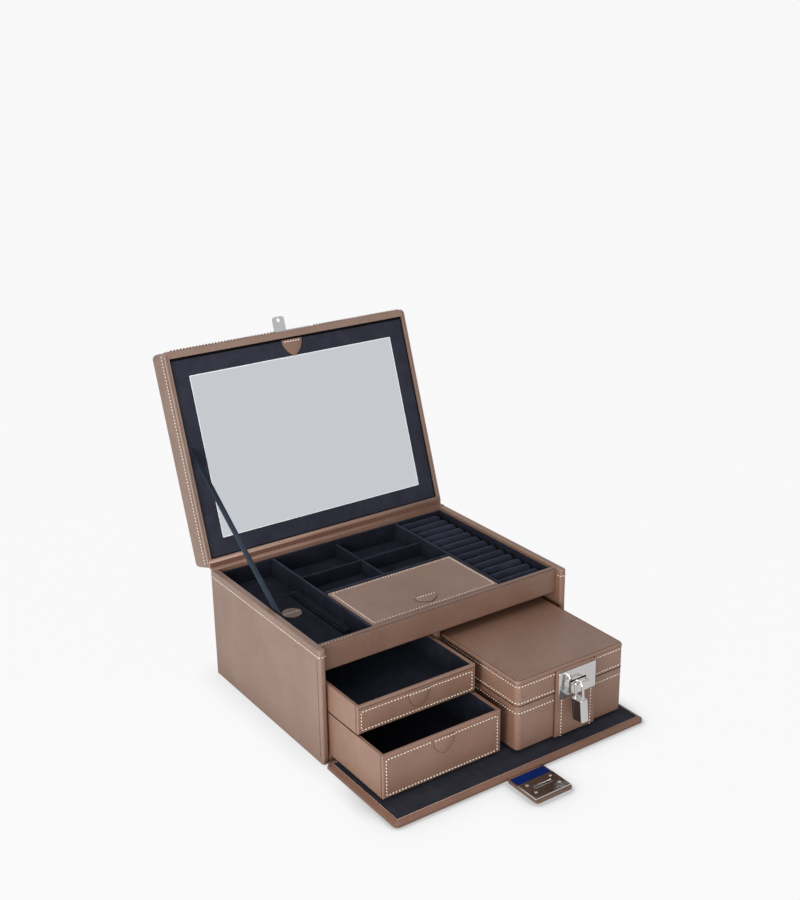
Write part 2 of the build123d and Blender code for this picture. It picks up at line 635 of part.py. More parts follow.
# Bent shackle wire, with a short toe behind and a long heel in front
with BuildPart() as padlock_shackle:
    with BuildLine(Plane(origin=LOCK.origin, x_dir=LOCK.y_dir, z_dir=LOCK.x_dir)) as wire_path:
        toe = Line((BEND_R, TOE_END), (BEND_R, 0))
        bend = CenterArc((0, 0), BEND_R, 0, 180)
        heel = Line((-BEND_R, 0), (-BEND_R, HEEL_END))
    with BuildSketch(LOCK.offset(TOE_END)):
        with Locations((0, BEND_R)):
            Circle(WIRE_R)
    sweep(path=wire_path.wires()[0])
padlock_shackle.part.label = "padlock_shackle"
export_step(padlock_shackle.part, "parts/padlock_shackle.step")

# Chamfered body bored for both legs, and the key cylinder in its foot
with BuildPart() as padlock_body:
    with BuildSketch(LOCK.offset(LOCK_FOOT)) as lock_shape:
        Rectangle(LOCK_X, LOCK_Y)
        chamfer(lock_shape.vertices(), length=1.4)
    extrude(amount=LOCK_TOP - LOCK_FOOT)
    ends = padlock_body.faces().sort_by(LOCK_UP)
    chamfer(ends[-1].edges() + ends[0].edges(), length=0.5)
    for leg, depth in ((BEND_R, 5.5), (-BEND_R, 18.0)):
        with BuildSketch(LOCK.offset(LOCK_TOP)):
            with Locations((0, leg)):
                Circle(WIRE_R + 0.25)
        extrude(amount=-depth, mode=Mode.SUBTRACT)
    with BuildSketch(LOCK.offset(LOCK_FOOT)):
        with Locations((0, 1.5)):
            Circle(2.8)
    extrude(amount=5.0, mode=Mode.SUBTRACT)
padlock_body.part.label = "padlock_body"
export_step(padlock_body.part, "parts/padlock_body.step")

with BuildPart() as padlock_cylinder:
    with BuildSketch(LOCK.offset(LOCK_FOOT)):
        with Locations((0, 1.5)):
            Circle(2.8)
            Rectangle(0.8, 3.4, mode=Mode.SUBTRACT)
    extrude(amount=5.0)
padlock_cylinder.part.label = "padlock_cylinder"
export_step(padlock_cylinder.part, "parts/padlock_cylinder.step")
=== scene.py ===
# %% [markdown]
# # A leather jewellery box, dressed for a studio photograph
#
# The real box is a wooden case covered in grained calf leather and lined in navy suede. The packed CAD
# model brings its walls, lid, drawers, travel case and metalwork at their real sizes. This script adds
# what makes them read as hand-sewn leather goods: grain, brushed suede, saddle stitching, pressed
# creases, stuffed ring rolls, hinge leathers at the lid and the flap, and the ribbon that
# holds the lid.
#
# The CAD pieces stay where they are. Most added pieces ride on a CAD body, so they move when that body
# moves; the ribbon and the hinge leathers are drawn in place and do not.

# %% Load the packed model and keep its size
import json
import math
import random

import bpy
from mathutils import Matrix, Vector, noise


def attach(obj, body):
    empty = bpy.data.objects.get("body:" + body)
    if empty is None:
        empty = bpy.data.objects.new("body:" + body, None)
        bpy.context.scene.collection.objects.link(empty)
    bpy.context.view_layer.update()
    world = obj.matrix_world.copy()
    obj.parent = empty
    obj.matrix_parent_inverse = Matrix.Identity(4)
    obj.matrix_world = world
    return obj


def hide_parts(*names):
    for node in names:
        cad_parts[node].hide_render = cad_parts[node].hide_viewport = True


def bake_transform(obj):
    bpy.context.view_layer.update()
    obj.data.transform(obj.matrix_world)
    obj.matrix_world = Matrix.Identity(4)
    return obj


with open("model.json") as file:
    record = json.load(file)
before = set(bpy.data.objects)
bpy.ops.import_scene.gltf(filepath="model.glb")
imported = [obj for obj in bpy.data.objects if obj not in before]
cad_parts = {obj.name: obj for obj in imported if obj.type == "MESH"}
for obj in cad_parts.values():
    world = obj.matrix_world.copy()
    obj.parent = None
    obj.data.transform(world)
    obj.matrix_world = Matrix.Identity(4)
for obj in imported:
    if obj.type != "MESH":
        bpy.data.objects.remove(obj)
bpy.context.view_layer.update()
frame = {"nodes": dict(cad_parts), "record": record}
nodes = frame["nodes"]
random.seed(7)


# %% [markdown]
# ## Measures
# Leather workers measure in millimetres, so every length below is in millimetres, and `mm` turns a
# point into Blender's metres. The case stands on z = 0 with its front towards -y. The lid is drawn
# open, so a point on it is easiest to give in the lid's own terms: x across, b from the hinge along the
# lid, and t above the rim, as if the lid were closed. `on_lid` turns such a point into a place in the
# scene, and no row of stitches on the lid needs any trigonometry of its own.

# %% Directions, and points on the open lid
LID_OPEN = math.radians(108.5)
HINGE_Y, HINGE_Z = 106.75, 118.5
LEFT, RIGHT = Vector((-1, 0, 0)), Vector((1, 0, 0))
FRONT, BACK = Vector((0, -1, 0)), Vector((0, 1, 0))
UP, DOWN = Vector((0, 0, 1)), Vector((0, 0, -1))
LID_B = Vector((0, -math.cos(LID_OPEN), math.sin(LID_OPEN)))
LID_T = Vector((0, math.sin(LID_OPEN), math.cos(LID_OPEN)))
BOTH_SIDES = ((-1, "left", LEFT), (1, "right", RIGHT))


def mm(x, y, z):
    """A point given in millimetres, in Blender's metres."""
    return Vector((x, y, z)) / 1000


def on_lid(x, b, t):
    """A point of the open lid: x across, b from the hinge, t above the rim."""
    y = HINGE_Y - b * math.cos(LID_OPEN) + t * math.sin(LID_OPEN)
    z = HINGE_Z + b * math.sin(LID_OPEN) + t * math.cos(LID_OPEN)
    return mm(x, y, z)


print("the middle of the lid's front edge is at", [round(v, 4) for v in on_lid(0, 221, 0)])


# %% [markdown]
# ## Making a piece
# A piece such as a stitch or a fold is simple enough to write as points and faces. Blender's mesh tools
# could model it by hand, but a list worked out by a formula is exact, and it comes out the same on
# every run. All the pieces below go through this one helper, which also gives the piece its material.

# %% A mesh from points and faces
BOX_FACES = [(0, 1, 3, 2), (4, 6, 7, 5), (0, 4, 5, 1), (2, 3, 7, 6), (0, 2, 6, 4), (1, 5, 7, 3)]


def add_mesh(name, points, faces, material, smooth=True):
    """A mesh object from points and faces, with one material."""
    mesh = bpy.data.meshes.new(name)
    mesh.from_pydata([tuple(p) for p in points], [], faces)
    mesh.validate()
    mesh.materials.append(material)
    for face in mesh.polygons:
        face.use_smooth = smooth
    piece = bpy.data.objects.new(name, mesh)
    bpy.context.scene.collection.objects.link(piece)
    return piece


def tube_faces(first, rings, around):
    """The side faces of a tube whose rings of points follow each other from number first."""
    faces = []
    for ring in range(rings - 1):
        for k in range(around):
            a, b = first + ring * around + k, first + ring * around + (k + 1) % around
            faces.append((a, b, b + around, a + around))
    return faces


print("a tube of 7 rings of 6 points has", len(tube_faces(0, 7, 6)), "side faces")


# %% [markdown]
# ## Wiring materials
# Every finish here is made from Blender's own texture nodes, so nothing is painted or photographed.
# Adding nodes one by one takes many lines, so `Wires` is a short way to add a node, set its inputs and
# link it. A finish that several materials share, such as leather grain, is a node group: it is built
# once, has named inputs and outputs, and each material places it with its own values.

# %% A helper that adds and links nodes
class Wires:
    """Adds nodes to one tree and links them."""

    def __init__(self, tree):
        self.tree = tree

    def add(self, kind, props=None, **inputs):
        """A node of that kind. Inputs are numbers, colours or other nodes' sockets, by socket name."""
        node = self.tree.nodes.new(kind)
        for key, value in (props or {}).items():
            setattr(node, key, value)
        for key, value in inputs.items():
            self.put(node.inputs[key.replace("_", " ")], value)
        return node

    def put(self, socket, value):
        """Sets a socket to a constant or links it."""
        if isinstance(value, bpy.types.NodeSocket):
            self.tree.links.new(value, socket)
        else:
            socket.default_value = value

    def math(self, operation, a, b=0.0):
        """One math node's result."""
        node = self.tree.nodes.new("ShaderNodeMath")
        node.operation = operation
        self.put(node.inputs[0], a)
        self.put(node.inputs[1], b)
        return node.outputs[0]

    def mix(self, share, a, b):
        """A mix of two colours."""
        node = self.tree.nodes.new("ShaderNodeMix")
        node.data_type = "RGBA"
        self.put(node.inputs["Factor"], share)
        self.put(node.inputs[6], a)
        self.put(node.inputs[7], b)
        return node.outputs[2]

    def ramp(self, value, low, high):
        """value turned into 0 at low and 1 at high, smoothly."""
        node = self.tree.nodes.new("ShaderNodeMapRange")
        node.interpolation_type = "SMOOTHSTEP"
        self.put(node.inputs["Value"], value)
        node.inputs["From Min"].default_value = low
        node.inputs["From Max"].default_value = high
        return node.outputs["Result"]

    def noise(self, place, scale, detail=2.0, **more):
        """A noise texture's grey value."""
        return self.add("ShaderNodeTexNoise", Vector=place, Scale=scale, Detail=detail, **more).outputs[0]

    def place(self):
        """The point of the surface, in the piece's own metres."""
        return self.add("ShaderNodeTexCoord").outputs["Object"]


print("node helper ready:", [name for name in vars(Wires) if not name.startswith("_")])


# %% New groups, new materials, and colours as the eye reads them
def rgb(r, g, b):
    """A colour as the eye reads it, 0 to 255, turned into Blender's linear values."""
    parts = [c / 255 for c in (r, g, b)]
    lin = [c / 12.92 if c <= 0.04045 else ((c + 0.055) / 1.055) ** 2.4 for c in parts]
    return (*lin, 1.0)


def darker(colour, *shares):
    """A colour with its red, green and blue each cut down to a share."""
    return tuple(c * share for c, share in zip(colour[:3], shares)) + (1,)


def new_group(name, inputs, outputs):
    """An empty node group: the group, its wires, its given numbers and its named results."""
    group = bpy.data.node_groups.new(name, "ShaderNodeTree")
    for label, value in inputs.items():
        socket = group.interface.new_socket(label, in_out="INPUT", socket_type="NodeSocketFloat")
        socket.default_value = value
    for label, kind in outputs.items():
        group.interface.new_socket(label, in_out="OUTPUT", socket_type=kind)
    given = group.nodes.new("NodeGroupInput").outputs
    result = group.nodes.new("NodeGroupOutput").inputs
    return group, Wires(group), given, result


def new_material(name):
    """An empty material: the material, its wires and its Principled shader."""
    material = bpy.data.materials.new(name)
    material.use_nodes = True
    return material, Wires(material.node_tree), material.node_tree.nodes["Principled BSDF"]


NUMBER, DIRECTION = "NodeSocketFloat", "NodeSocketVector"
print("mid grey as Blender stores it:", [round(v, 3) for v in rgb(128, 128, 128)])


# %% [markdown]
# ## Calf leather
# The covering is soft calf with a fine pebble grain. Its dye is a little cloudy, its edges are rubbed
# paler, and in the folds and corners that light hardly reaches its colour is darkened as painted shade. A
# single brown would look like plastic. Voronoi cells make good pebbles, bent by a little noise so that no
# two look alike. The Bevel node finds the edges without any painted mask, and Ambient Occlusion finds the
# folds that get the painted shade.

# %% The leather's grain, tone, edges and painted fold shade as one node group
grain, w, given, result = new_group(
    "leather_grain",
    {"Pebble Scale": 720.0, "Depth": 0.38, "Edge Width": 0.0011},
    {"Tone": NUMBER, "Pores": NUMBER, "Edge": NUMBER, "Painted Fold Shade": NUMBER, "Normal": DIRECTION})
place = w.place()
cloud = w.noise(place, 22.0, 4.0, Roughness=0.55)
mottle = w.noise(place, 320.0)
cloudy = w.math("MULTIPLY", w.ramp(cloud, 0.3, 0.7), 0.82)
w.put(result["Tone"], w.math("ADD", cloudy, w.math("MULTIPLY", w.ramp(mottle, 0.35, 0.65), 0.18)))

warp = w.add("ShaderNodeTexNoise", Vector=place, Scale=700.0, Detail=1.0).outputs["Color"]
bend = w.add("ShaderNodeVectorMath", {"operation": "MULTIPLY_ADD"})
w.put(bend.inputs[0], warp)
w.put(bend.inputs[1], (0.0006, 0.0006, 0.0006))
w.put(bend.inputs[2], place)
pebble = w.add("ShaderNodeTexVoronoi", {"feature": "SMOOTH_F1"}, Vector=bend.outputs[0],
               Scale=given["Pebble Scale"]).outputs["Distance"]
fine = w.math("MULTIPLY", w.noise(place, 2600.0), 0.35)
height = w.math("ADD", w.math("MULTIPLY", pebble, -1.0), fine)
bump = w.add("ShaderNodeBump", Strength=given["Depth"], Distance=0.0003, Height=height)
w.put(result["Pores"], w.ramp(pebble, 0.1, 0.75))
w.put(result["Normal"], bump.outputs[0])

rounded = w.add("ShaderNodeBevel", {"samples": 4}, Radius=given["Edge Width"]).outputs[0]
facing = w.add("ShaderNodeVectorMath", {"operation": "DOT_PRODUCT"})
w.put(facing.inputs[0], rounded)
w.put(facing.inputs[1], w.add("ShaderNodeNewGeometry").outputs["Normal"])
w.put(result["Edge"], w.ramp(w.math("SUBTRACT", 1.0, facing.outputs["Value"]), 0.02, 0.2))
open_sky = w.add("ShaderNodeAmbientOcclusion", {"samples": 6}, Distance=0.05).outputs["AO"]
w.put(result["Painted Fold Shade"], w.math("SUBTRACT", 1.0, w.ramp(open_sky, 0.1, 0.95)))
print("leather group:", len(grain.nodes), "nodes")


# %% A leather material from two close tones
def leather(name, dark, light, worn):
    """Leather between two close tones: worn on its edges, darker in its pores, painted shade in its folds.
    """
    material, tree, skin = new_material(name)
    group = tree.add("ShaderNodeGroup", {"node_tree": grain}, Pebble_Scale=720.0, Depth=0.38,
                     Edge_Width=0.0011).outputs
    base = tree.mix(group["Tone"], dark, light)
    deep = tree.mix(tree.math("MULTIPLY", group["Pores"], 0.2), base, darker(dark, 0.55, 0.55, 0.55))
    rubbed = tree.mix(tree.math("MULTIPLY", group["Edge"], 0.42), deep, worn)
    # Ambient Occlusion darkens the colour in folds and corners: painted shade.
    painted_fold_shade = tree.math("MULTIPLY", group["Painted Fold Shade"], 0.75)
    tree.put(skin.inputs["Base Color"], tree.mix(painted_fold_shade, rubbed, darker(dark, 0.5, 0.36, 0.28)))
    polish = tree.math("MULTIPLY", group["Edge"], 0.08)
    tree.put(skin.inputs["Roughness"], tree.math("SUBTRACT", 0.42, polish))
    tree.put(skin.inputs["Normal"], group["Normal"])
    skin.inputs["Specular IOR Level"].default_value = 0.5
    skin.inputs["Coat Weight"].default_value = 0.12
    skin.inputs["Coat Roughness"].default_value = 0.4
    return material


taupe = leather("taupe_leather", rgb(141, 109, 92), rgb(153, 120, 103), rgb(178, 145, 126))
print("taupe leather:", len(taupe.node_tree.nodes), "nodes")


# %% [markdown]
# One hide is never one colour, and a maker cuts each panel where it suits, so the flap and the small
# pieces get tones of their own, all close to the first. The rail's darker tone is painted shade, and the
# mirror tab shares it. The left wall's and the lid's cooler tone is a painted sheen. The fold and hinge band
# tones are painted shade in folds and grooves. The crease tone is a crease pressed in with a hot tool,
# nearly burnt, with painted shade as well.

# %% The other tones of the same hide
# painted shade: the rail's darker tone, which the mirror tab shares
taupe_deep = leather("taupe_leather_shaded", rgb(129, 98, 83), rgb(140, 108, 92), rgb(166, 132, 114))
# painted sheen: the left wall's and the lid's cooler tone
taupe_painted_sheen = leather("taupe_leather_painted_sheen", rgb(139, 112, 98), rgb(150, 123, 109), rgb(168, 142, 127))
taupe_flap = leather("taupe_leather_flap", rgb(120, 83, 64), rgb(132, 94, 74), rgb(152, 114, 94))
taupe_disc = leather("taupe_leather_disc", rgb(108, 80, 63), rgb(118, 89, 71), rgb(144, 112, 92))
taupe_edge = leather("taupe_leather_edge", rgb(168, 136, 118), rgb(178, 146, 128), rgb(190, 160, 142))
# painted shade in folds and along creases
taupe_fold_painted_shade = leather("taupe_leather_fold_painted_shade", rgb(84, 54, 40), rgb(96, 64, 48), rgb(116, 84, 66))
# painted shade in the hinge's groove
hinge_band_painted_shade = leather("hinge_band_leather_painted_shade", rgb(114, 72, 52), rgb(126, 84, 62), rgb(136, 94, 72))
# a hot tool's burn, with painted shade in the crease
crease = leather("leather_crease_painted_shade", rgb(62, 38, 28), rgb(76, 48, 36), rgb(88, 60, 46))
print("leathers:", sum("leather" in m.name for m in bpy.data.materials))


# %% [markdown]
# ## Suede
# The lining is suede: short fibres that stand up and lie whichever way they were last brushed. Its
# colour is a very dark navy, and the raised fibres catch light at grazing angles, which Blender's sheen
# does well. Two noises are enough, a broad one for the brushed patches and a very fine one for the
# fibres.

# %% The brushed nap as one node group
nap, w, given, result = new_group(
    "brushed_nap",
    {"Brush Scale": 38.0, "Depth": 0.5},
    {"Brush": NUMBER, "Fibre": NUMBER, "Normal": DIRECTION})
place = w.place()
brush = w.noise(place, given["Brush Scale"], 3.0, Distortion=1.2)
fibre = w.noise(place, 2600.0, 3.0)
bump = w.add("ShaderNodeBump", Strength=given["Depth"], Distance=0.00018, Height=fibre)
w.put(result["Brush"], w.ramp(brush, 0.34, 0.68))
w.put(result["Fibre"], w.ramp(fibre, 0.3, 0.7))
w.put(result["Normal"], bump.outputs[0])
print("suede group:", len(nap.nodes), "nodes")


# %% A suede material from two tones and a sheen
def suede(name, deep, raised, sheen, amount, fade=None):
    """A napped fabric, its fibres brushed both ways. fade darkens it between two heights, in metres."""
    material, tree, skin = new_material(name)
    group = tree.add("ShaderNodeGroup", {"node_tree": nap}, Brush_Scale=38.0, Depth=0.5).outputs
    patches = tree.math("MULTIPLY", group["Brush"], 0.55)
    colour = tree.mix(tree.math("ADD", patches, tree.math("MULTIPLY", group["Fibre"], 0.45)), deep, raised)
    if fade:
        split = tree.add("ShaderNodeSeparateXYZ", Vector=tree.place())
        colour = tree.mix(tree.ramp(split.outputs["Z"], *fade), colour, darker(deep, 0.55, 0.55, 0.55))
    tree.put(skin.inputs["Base Color"], colour)
    tree.put(skin.inputs["Normal"], group["Normal"])
    skin.inputs["Roughness"].default_value = 0.95
    skin.inputs["Specular IOR Level"].default_value = 0.15
    skin.inputs["Sheen Weight"].default_value = amount
    skin.inputs["Sheen Roughness"].default_value = 0.4
    skin.inputs["Sheen Tint"].default_value = sheen
    return material


navy = suede("navy_suede", rgb(20, 21, 29), rgb(34, 36, 48), rgb(120, 128, 150), 0.3)
print("navy suede:", len(navy.node_tree.nodes), "nodes")


# %% [markdown]
# The same suede looks lighter where it is wrapped over an edge or stuffed, because the fibres there
# point at the light, and on the mirror's board, which faces the light. Those pieces get a lighter tone,
# painted light. The clasp's lining is a smooth royal blue cloth, the ribbon a tight weave that darkens
# towards the lid, and the gaps round the mirror are as good as black, painted shadow.

# %% The other napped cloths
# painted highlight on the divider tops
navy_painted_highlight = suede("navy_suede_painted_highlight", rgb(38, 42, 56), rgb(56, 61, 78), rgb(130, 138, 160), 0.5)
# painted light on the ring rolls
navy_roll_painted_light = suede("navy_suede_rolls_painted_light", rgb(28, 29, 40), rgb(48, 50, 65), rgb(125, 130, 150), 0.5)
flap_suede = suede("flap_suede", rgb(33, 34, 43), rgb(50, 50, 59), rgb(130, 130, 145), 0.3)
# painted light on the mirror's board
frame_suede_painted_light = suede("mirror_frame_suede_painted_light", rgb(41, 42, 53), rgb(53, 54, 66), rgb(130, 130, 145), 0.3)
bay_cloth = suede("bay_cloth", rgb(20, 18, 20), rgb(30, 27, 30), rgb(90, 90, 100), 0.1)
blue_cloth = suede("blue_lining_cloth", rgb(0, 26, 82), rgb(0, 38, 112), rgb(20, 56, 140), 0.0)
# painted shadow for gaps and slits
gap_shadow = suede("gap_shadow", rgb(4, 4, 5), rgb(8, 7, 8), rgb(20, 20, 20), 0.0)
ribbon = suede("navy_ribbon", rgb(36, 43, 53), rgb(47, 55, 66), rgb(110, 130, 150), 0.25, (0.165, 0.215))
print("materials so far:", len(bpy.data.materials))


# %% [markdown]
# ## Metal and mirror
# The clasp, the plate and the padlock are polished nickel, and the lock's cylinder is brass. Polished
# metal has almost no colour of its own, so what gives it away is a reflection broken by wipe marks and
# finger smudges. Both live in the roughness. The mirror is the same metal, nearly perfect.

# %% Wipe marks as one node group
wipes, w, given, result = new_group("wipe_marks", {"Strength": 0.06}, {"Wear": NUMBER})
place = w.place()
stretch = w.add("ShaderNodeMapping", Vector=place, Scale=(60, 900, 900)).outputs[0]
marks = w.math("MULTIPLY", w.noise(stretch, 1.0, 4.0), given["Strength"])
smudges = w.math("MULTIPLY", w.noise(place, 120.0), given["Strength"])
w.put(result["Wear"], w.math("ADD", marks, smudges))
print("wipe mark group:", len(wipes.nodes), "nodes")


# %% Nickel, brass and mirror glass
def metal(name, colour, rough, marks=0.06):
    """A polished metal with faint wipe marks in its roughness."""
    material, tree, skin = new_material(name)
    group = tree.add("ShaderNodeGroup", {"node_tree": wipes}, Strength=marks).outputs
    tree.put(skin.inputs["Roughness"], tree.math("ADD", group["Wear"], rough))
    skin.inputs["Base Color"].default_value = colour
    skin.inputs["Metallic"].default_value = 1.0
    return material


nickel = metal("polished_nickel", (0.78, 0.765, 0.74, 1), 0.05)
# Two darker nickels, painted shade: the padlock's sides and the clasp's face.
nickel_shade = metal("nickel_in_shade", (0.19, 0.185, 0.20, 1), 0.08)
nickel_clasp_painted_shade = metal("nickel_clasp_face_painted_shade", (0.25, 0.225, 0.205, 1), 0.06)
brass = metal("satin_brass", (0.72, 0.56, 0.31, 1), 0.22)
mirror = metal("mirror_glass", (0.97, 0.975, 0.98, 1), 0.0, 0.004)
print("metals:", [m.name for m in (nickel, nickel_shade, nickel_clasp_painted_shade, brass, mirror)])


# %% [markdown]
# ## Waxed thread
# Saddle stitching uses linen thread twisted from several strands and pulled through wax. A diagonal
# wave texture gives the twist, both as a change of tone and as a small bump. The cream thread is meant
# to be seen. The hinge's dark brown thread is painted shade in its groove, and the lid's rim is sewn in a
# taupe close to the leather, darkened as painted shade on the stitches' shadowed sides.

# %% The thread's twist as a node group, and three threads
strands, w, given, result = new_group("thread_twist", {"Depth": 0.4}, {"Twist": NUMBER, "Normal": DIRECTION})
twist = w.add("ShaderNodeTexWave", {"bands_direction": "DIAGONAL"}, Vector=w.place(), Scale=900.0,
              Distortion=1.0).outputs["Fac"]
w.put(result["Twist"], twist)
relief = w.add("ShaderNodeBump", Strength=given["Depth"], Distance=0.0001, Height=twist)
w.put(result["Normal"], relief.outputs[0])


def waxed_thread(name, shade, lit):
    """A twisted thread between two tones."""
    material, tree, skin = new_material(name)
    group = tree.add("ShaderNodeGroup", {"node_tree": strands}, Depth=0.4).outputs
    tree.put(skin.inputs["Base Color"], tree.mix(group["Twist"], shade, lit))
    tree.put(skin.inputs["Normal"], group["Normal"])
    skin.inputs["Roughness"].default_value = 0.6
    return material


cream_thread = waxed_thread("waxed_thread", rgb(240, 224, 206), rgb(255, 248, 236))
brown_thread_painted_shade = waxed_thread("brown_thread_painted_shade", rgb(30, 16, 10), rgb(52, 30, 20))
taupe_thread_painted_shade = waxed_thread("taupe_thread_painted_shade", rgb(104, 76, 60), rgb(132, 100, 82))
print("threads:", [m.name for m in (cream_thread, brown_thread_painted_shade, taupe_thread_painted_shade)])


# %% [markdown]
# ## Dressing the CAD pieces
# Each CAD piece names what it is made of, so a table from that name to a finish dresses all of them at
# once. A few differ: the drawer boxes are board, but covered in leather outside, and the flap and the small
# discs each have their own tone. The rail gets a painted shade tone, the lid and the left wall a painted
# sheen, and the mirror's board a lighter suede as painted light.

# %% One finish for each CAD piece
by_slot = {"leather": taupe, "dark_board": bay_cloth, "suede": navy, "blue_lining": blue_cloth,
           "mirror": mirror, "nickel": nickel, "brass": brass}
slot_of = {part["node"]: part["material_slot"] for part in frame["record"]["subparts"]}
finish = {name: by_slot[slot] for name, slot in slot_of.items()}
for name, slot in slot_of.items():
    # the left wall and the lid get the painted sheen tone
    if slot == "leather" and (name == "left_wall" or name.startswith("lid_")):
        finish[name] = taupe_painted_sheen
for name in ("upper_drawer_box", "lower_drawer_box", "deck_board", "bay_divider"):
    finish[name] = taupe
finish.update(front_rail=taupe_deep, flap_board=taupe_flap, flap_lining=flap_suede,
              mirror_board=frame_suede_painted_light, floor_panel_disc=taupe_disc, clasp_tab=taupe_disc)
for name, material in finish.items():
    nodes[name].data.materials.clear()
    nodes[name].data.materials.append(material)
print("finishes:", len(set(m.name for m in finish.values())), "on", len(finish), "CAD pieces")


# %% [markdown]
# Some pieces have two finishes. The suede on top of a tray divider is wrapped and catches light, so it
# gets a painted highlight. The padlock's sides and the face of the clasp stand edge-on to the lights,
# where real nickel goes dark, so a darker nickel paints the shade on them.
# The CAD mesh stays as it is: only the faces that point the right way are handed a second material.

# %% A second finish on faces picked by their direction
def second_finish(name, material, wanted):
    """Gives the faces of a CAD piece whose normals are wanted a second material, and counts them."""
    mesh = nodes[name].data
    turn = nodes[name].matrix_world.to_3x3()
    mesh.materials.append(material)
    picked = [face for face in mesh.polygons if wanted((turn @ face.normal).normalized())]
    for face in picked:
        face.material_index = 1
    return len(picked)


for name in ("left_divider", "right_divider", "cross_divider", "mid_divider", "centre_divider"):
    print(name, "top:", second_finish(name, navy_painted_highlight, lambda n: n.z > 0.9), "faces")
print("padlock sides:", second_finish("padlock_body", nickel_shade, lambda n: abs(n.x) > 0.9), "faces")
print("clasp face:", second_finish("clasp_inner_plate", nickel_clasp_painted_shade, lambda n: n.z > 0.99), "faces")


# %% [markdown]
# ## Saddle stitching
# A saddle stitch is a short slanted stitch that dives into the leather at both ends. Painting it as a
# texture would look flat at the outline of the lid, so each stitch is a thin capsule of real geometry.
# `walk` goes along a path in even steps, as a pricking wheel does, and `seam` lays a stitch at each
# step. A path is a list of points, each with the direction that faces outwards there.

# %% Even steps along a path
def walk(path, pitch):
    """Even steps along a path: (point, direction, outward) every pitch."""
    steps = []
    spare = pitch / 2
    for (a, na), (b, nb) in zip(path, path[1:]):
        length = (b - a).length
        if length < 1e-9:
            continue
        along = (b - a) / length
        climbs = abs(along.dot(na)) > 0.7
        while spare <= length:
            share = spare / length
            if not climbs:
                steps.append((a.lerp(b, share), along, na.lerp(nb, share).normalized()))
            spare += pitch
        spare -= length
    return steps


straight = [(mm(0, 0, 0), UP), (mm(100, 0, 0), UP)]
print("stitches on 100 mm at a pitch of 3.4 mm:", len(walk(straight, 0.0034)))


# %% One seam: a slanted capsule at each step
STITCH_RINGS, STITCH_AROUND = 7, 6


def seam(name, path, body, pitch=3.4, long=2.0, thick=0.95, material=cream_thread, slant=0.3, wide=1.0):
    """A row of stitches along a path, riding on a body. Says how many stitches it has."""
    pitch, long, thick = pitch / 1000, long / 1000, thick / 1000
    points, faces = [], []
    stitches = walk(path, pitch)
    for spot, along, outward in stitches:
        side = outward.cross(along).normalized()
        lie = (along + side * slant).normalized()
        across = outward.cross(lie).normalized()
        jitter = random.uniform(-0.04, 0.04) * long
        first = len(points)
        for i in range(STITCH_RINGS):
            s = i / (STITCH_RINGS - 1) * 2 - 1
            fat = thick / 2 * math.sqrt(max(0.12, 1 - s ** 4))
            rise = 0.20 * thick * (1 - 1.7 * s * s)
            centre = spot + lie * (s * long / 2 + jitter) + outward * rise
            for k in range(STITCH_AROUND):
                a = k * math.pi / 3
                points.append(centre + across * (fat * wide * math.cos(a)) + outward * (fat * math.sin(a)))
        faces += tube_faces(first, STITCH_RINGS, STITCH_AROUND)
        faces.append(tuple(first + k for k in range(STITCH_AROUND)))
        faces.append(tuple(len(points) - 1 - k for k in range(STITCH_AROUND)))
    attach(add_mesh(name, points, faces, material), body)
    return len(stitches)


print("points in one stitch:", STITCH_RINGS * STITCH_AROUND)


# %% Paths: on a flat face, round a corner, and round a border
def flat_path(points, outward):
    """A path on one flat face."""
    return [(p, outward) for p in points]


def arc(centre, start, end, count=6):
    """Points on a quarter turn about centre, from one offset to another, with outward directions."""
    found = []
    for i in range(count + 1):
        share = i / count * math.pi / 2
        offset = start * math.cos(share) + end * math.sin(share)
        found.append((centre + offset, offset.normalized()))
    return found


def border(origin, across, up, width, height, corner, outward):
    """A rounded rectangle of points on a flat face; origin is its lower left corner."""
    spots = []
    turn = [(width - corner, corner, 0), (width - corner, height - corner, 90),
            (corner, height - corner, 180), (corner, corner, 270)]
    for cx, cy, start in turn:
        for i in range(5):
            a = math.radians(start - 90 + i * 22.5)
            x, y = cx + corner * math.cos(a), cy + corner * math.sin(a)
            spots.append(origin + (across * x + up * y) / 1000)
    return flat_path(spots + spots[:1], outward)


print("points in a border:", len(border(mm(0, 0, 0), RIGHT, UP, 100, 50, 1.5, FRONT)))


# %% [markdown]
# ## Seams of the case and the lid
# Each side wall has one row under its top edge, which runs round the wall's rounded front end and a
# little way back inside. The front rail keeps only a short row at its left end. The lid has one row
# round its sides and front. A second row along the front rim shows only as small bumps on the outline,
# so it is sewn in a darker taupe, painted shade on the stitches' shadowed sides. Both stop where the
# hasp's foot covers the leather.

# %% Case and rail
CASE_SIDE, WALL_FRONT, CASE_ROW = 146.0, -104.25, 111.5
for side, name, word in BOTH_SIDES:
    x = side * CASE_SIDE
    path = [(mm(x, 103.5, CASE_ROW), word), (mm(x, WALL_FRONT, CASE_ROW), word)]
    path += arc(mm(x - side * 2.5, WALL_FRONT, CASE_ROW), word * 0.0025, FRONT * 0.0025)[1:]
    path += arc(mm(x - side * 4.5, WALL_FRONT, CASE_ROW), FRONT * 0.0025, word * -0.0025)
    path.append((mm(x - side * 7, -100.0, CASE_ROW), -word))
    print(name, "wall:", seam("case_seam_" + name, path, "case"), "stitches")
rail_row = [mm(-138.5, -97.9, 118.02), mm(-104, -97.9, 118.02)]
rail_edge = (UP + FRONT * 0.3).normalized()
print("rail:", seam("rail_seam", flat_path(rail_row, rail_edge), "case", thick=0.6), "stitches")


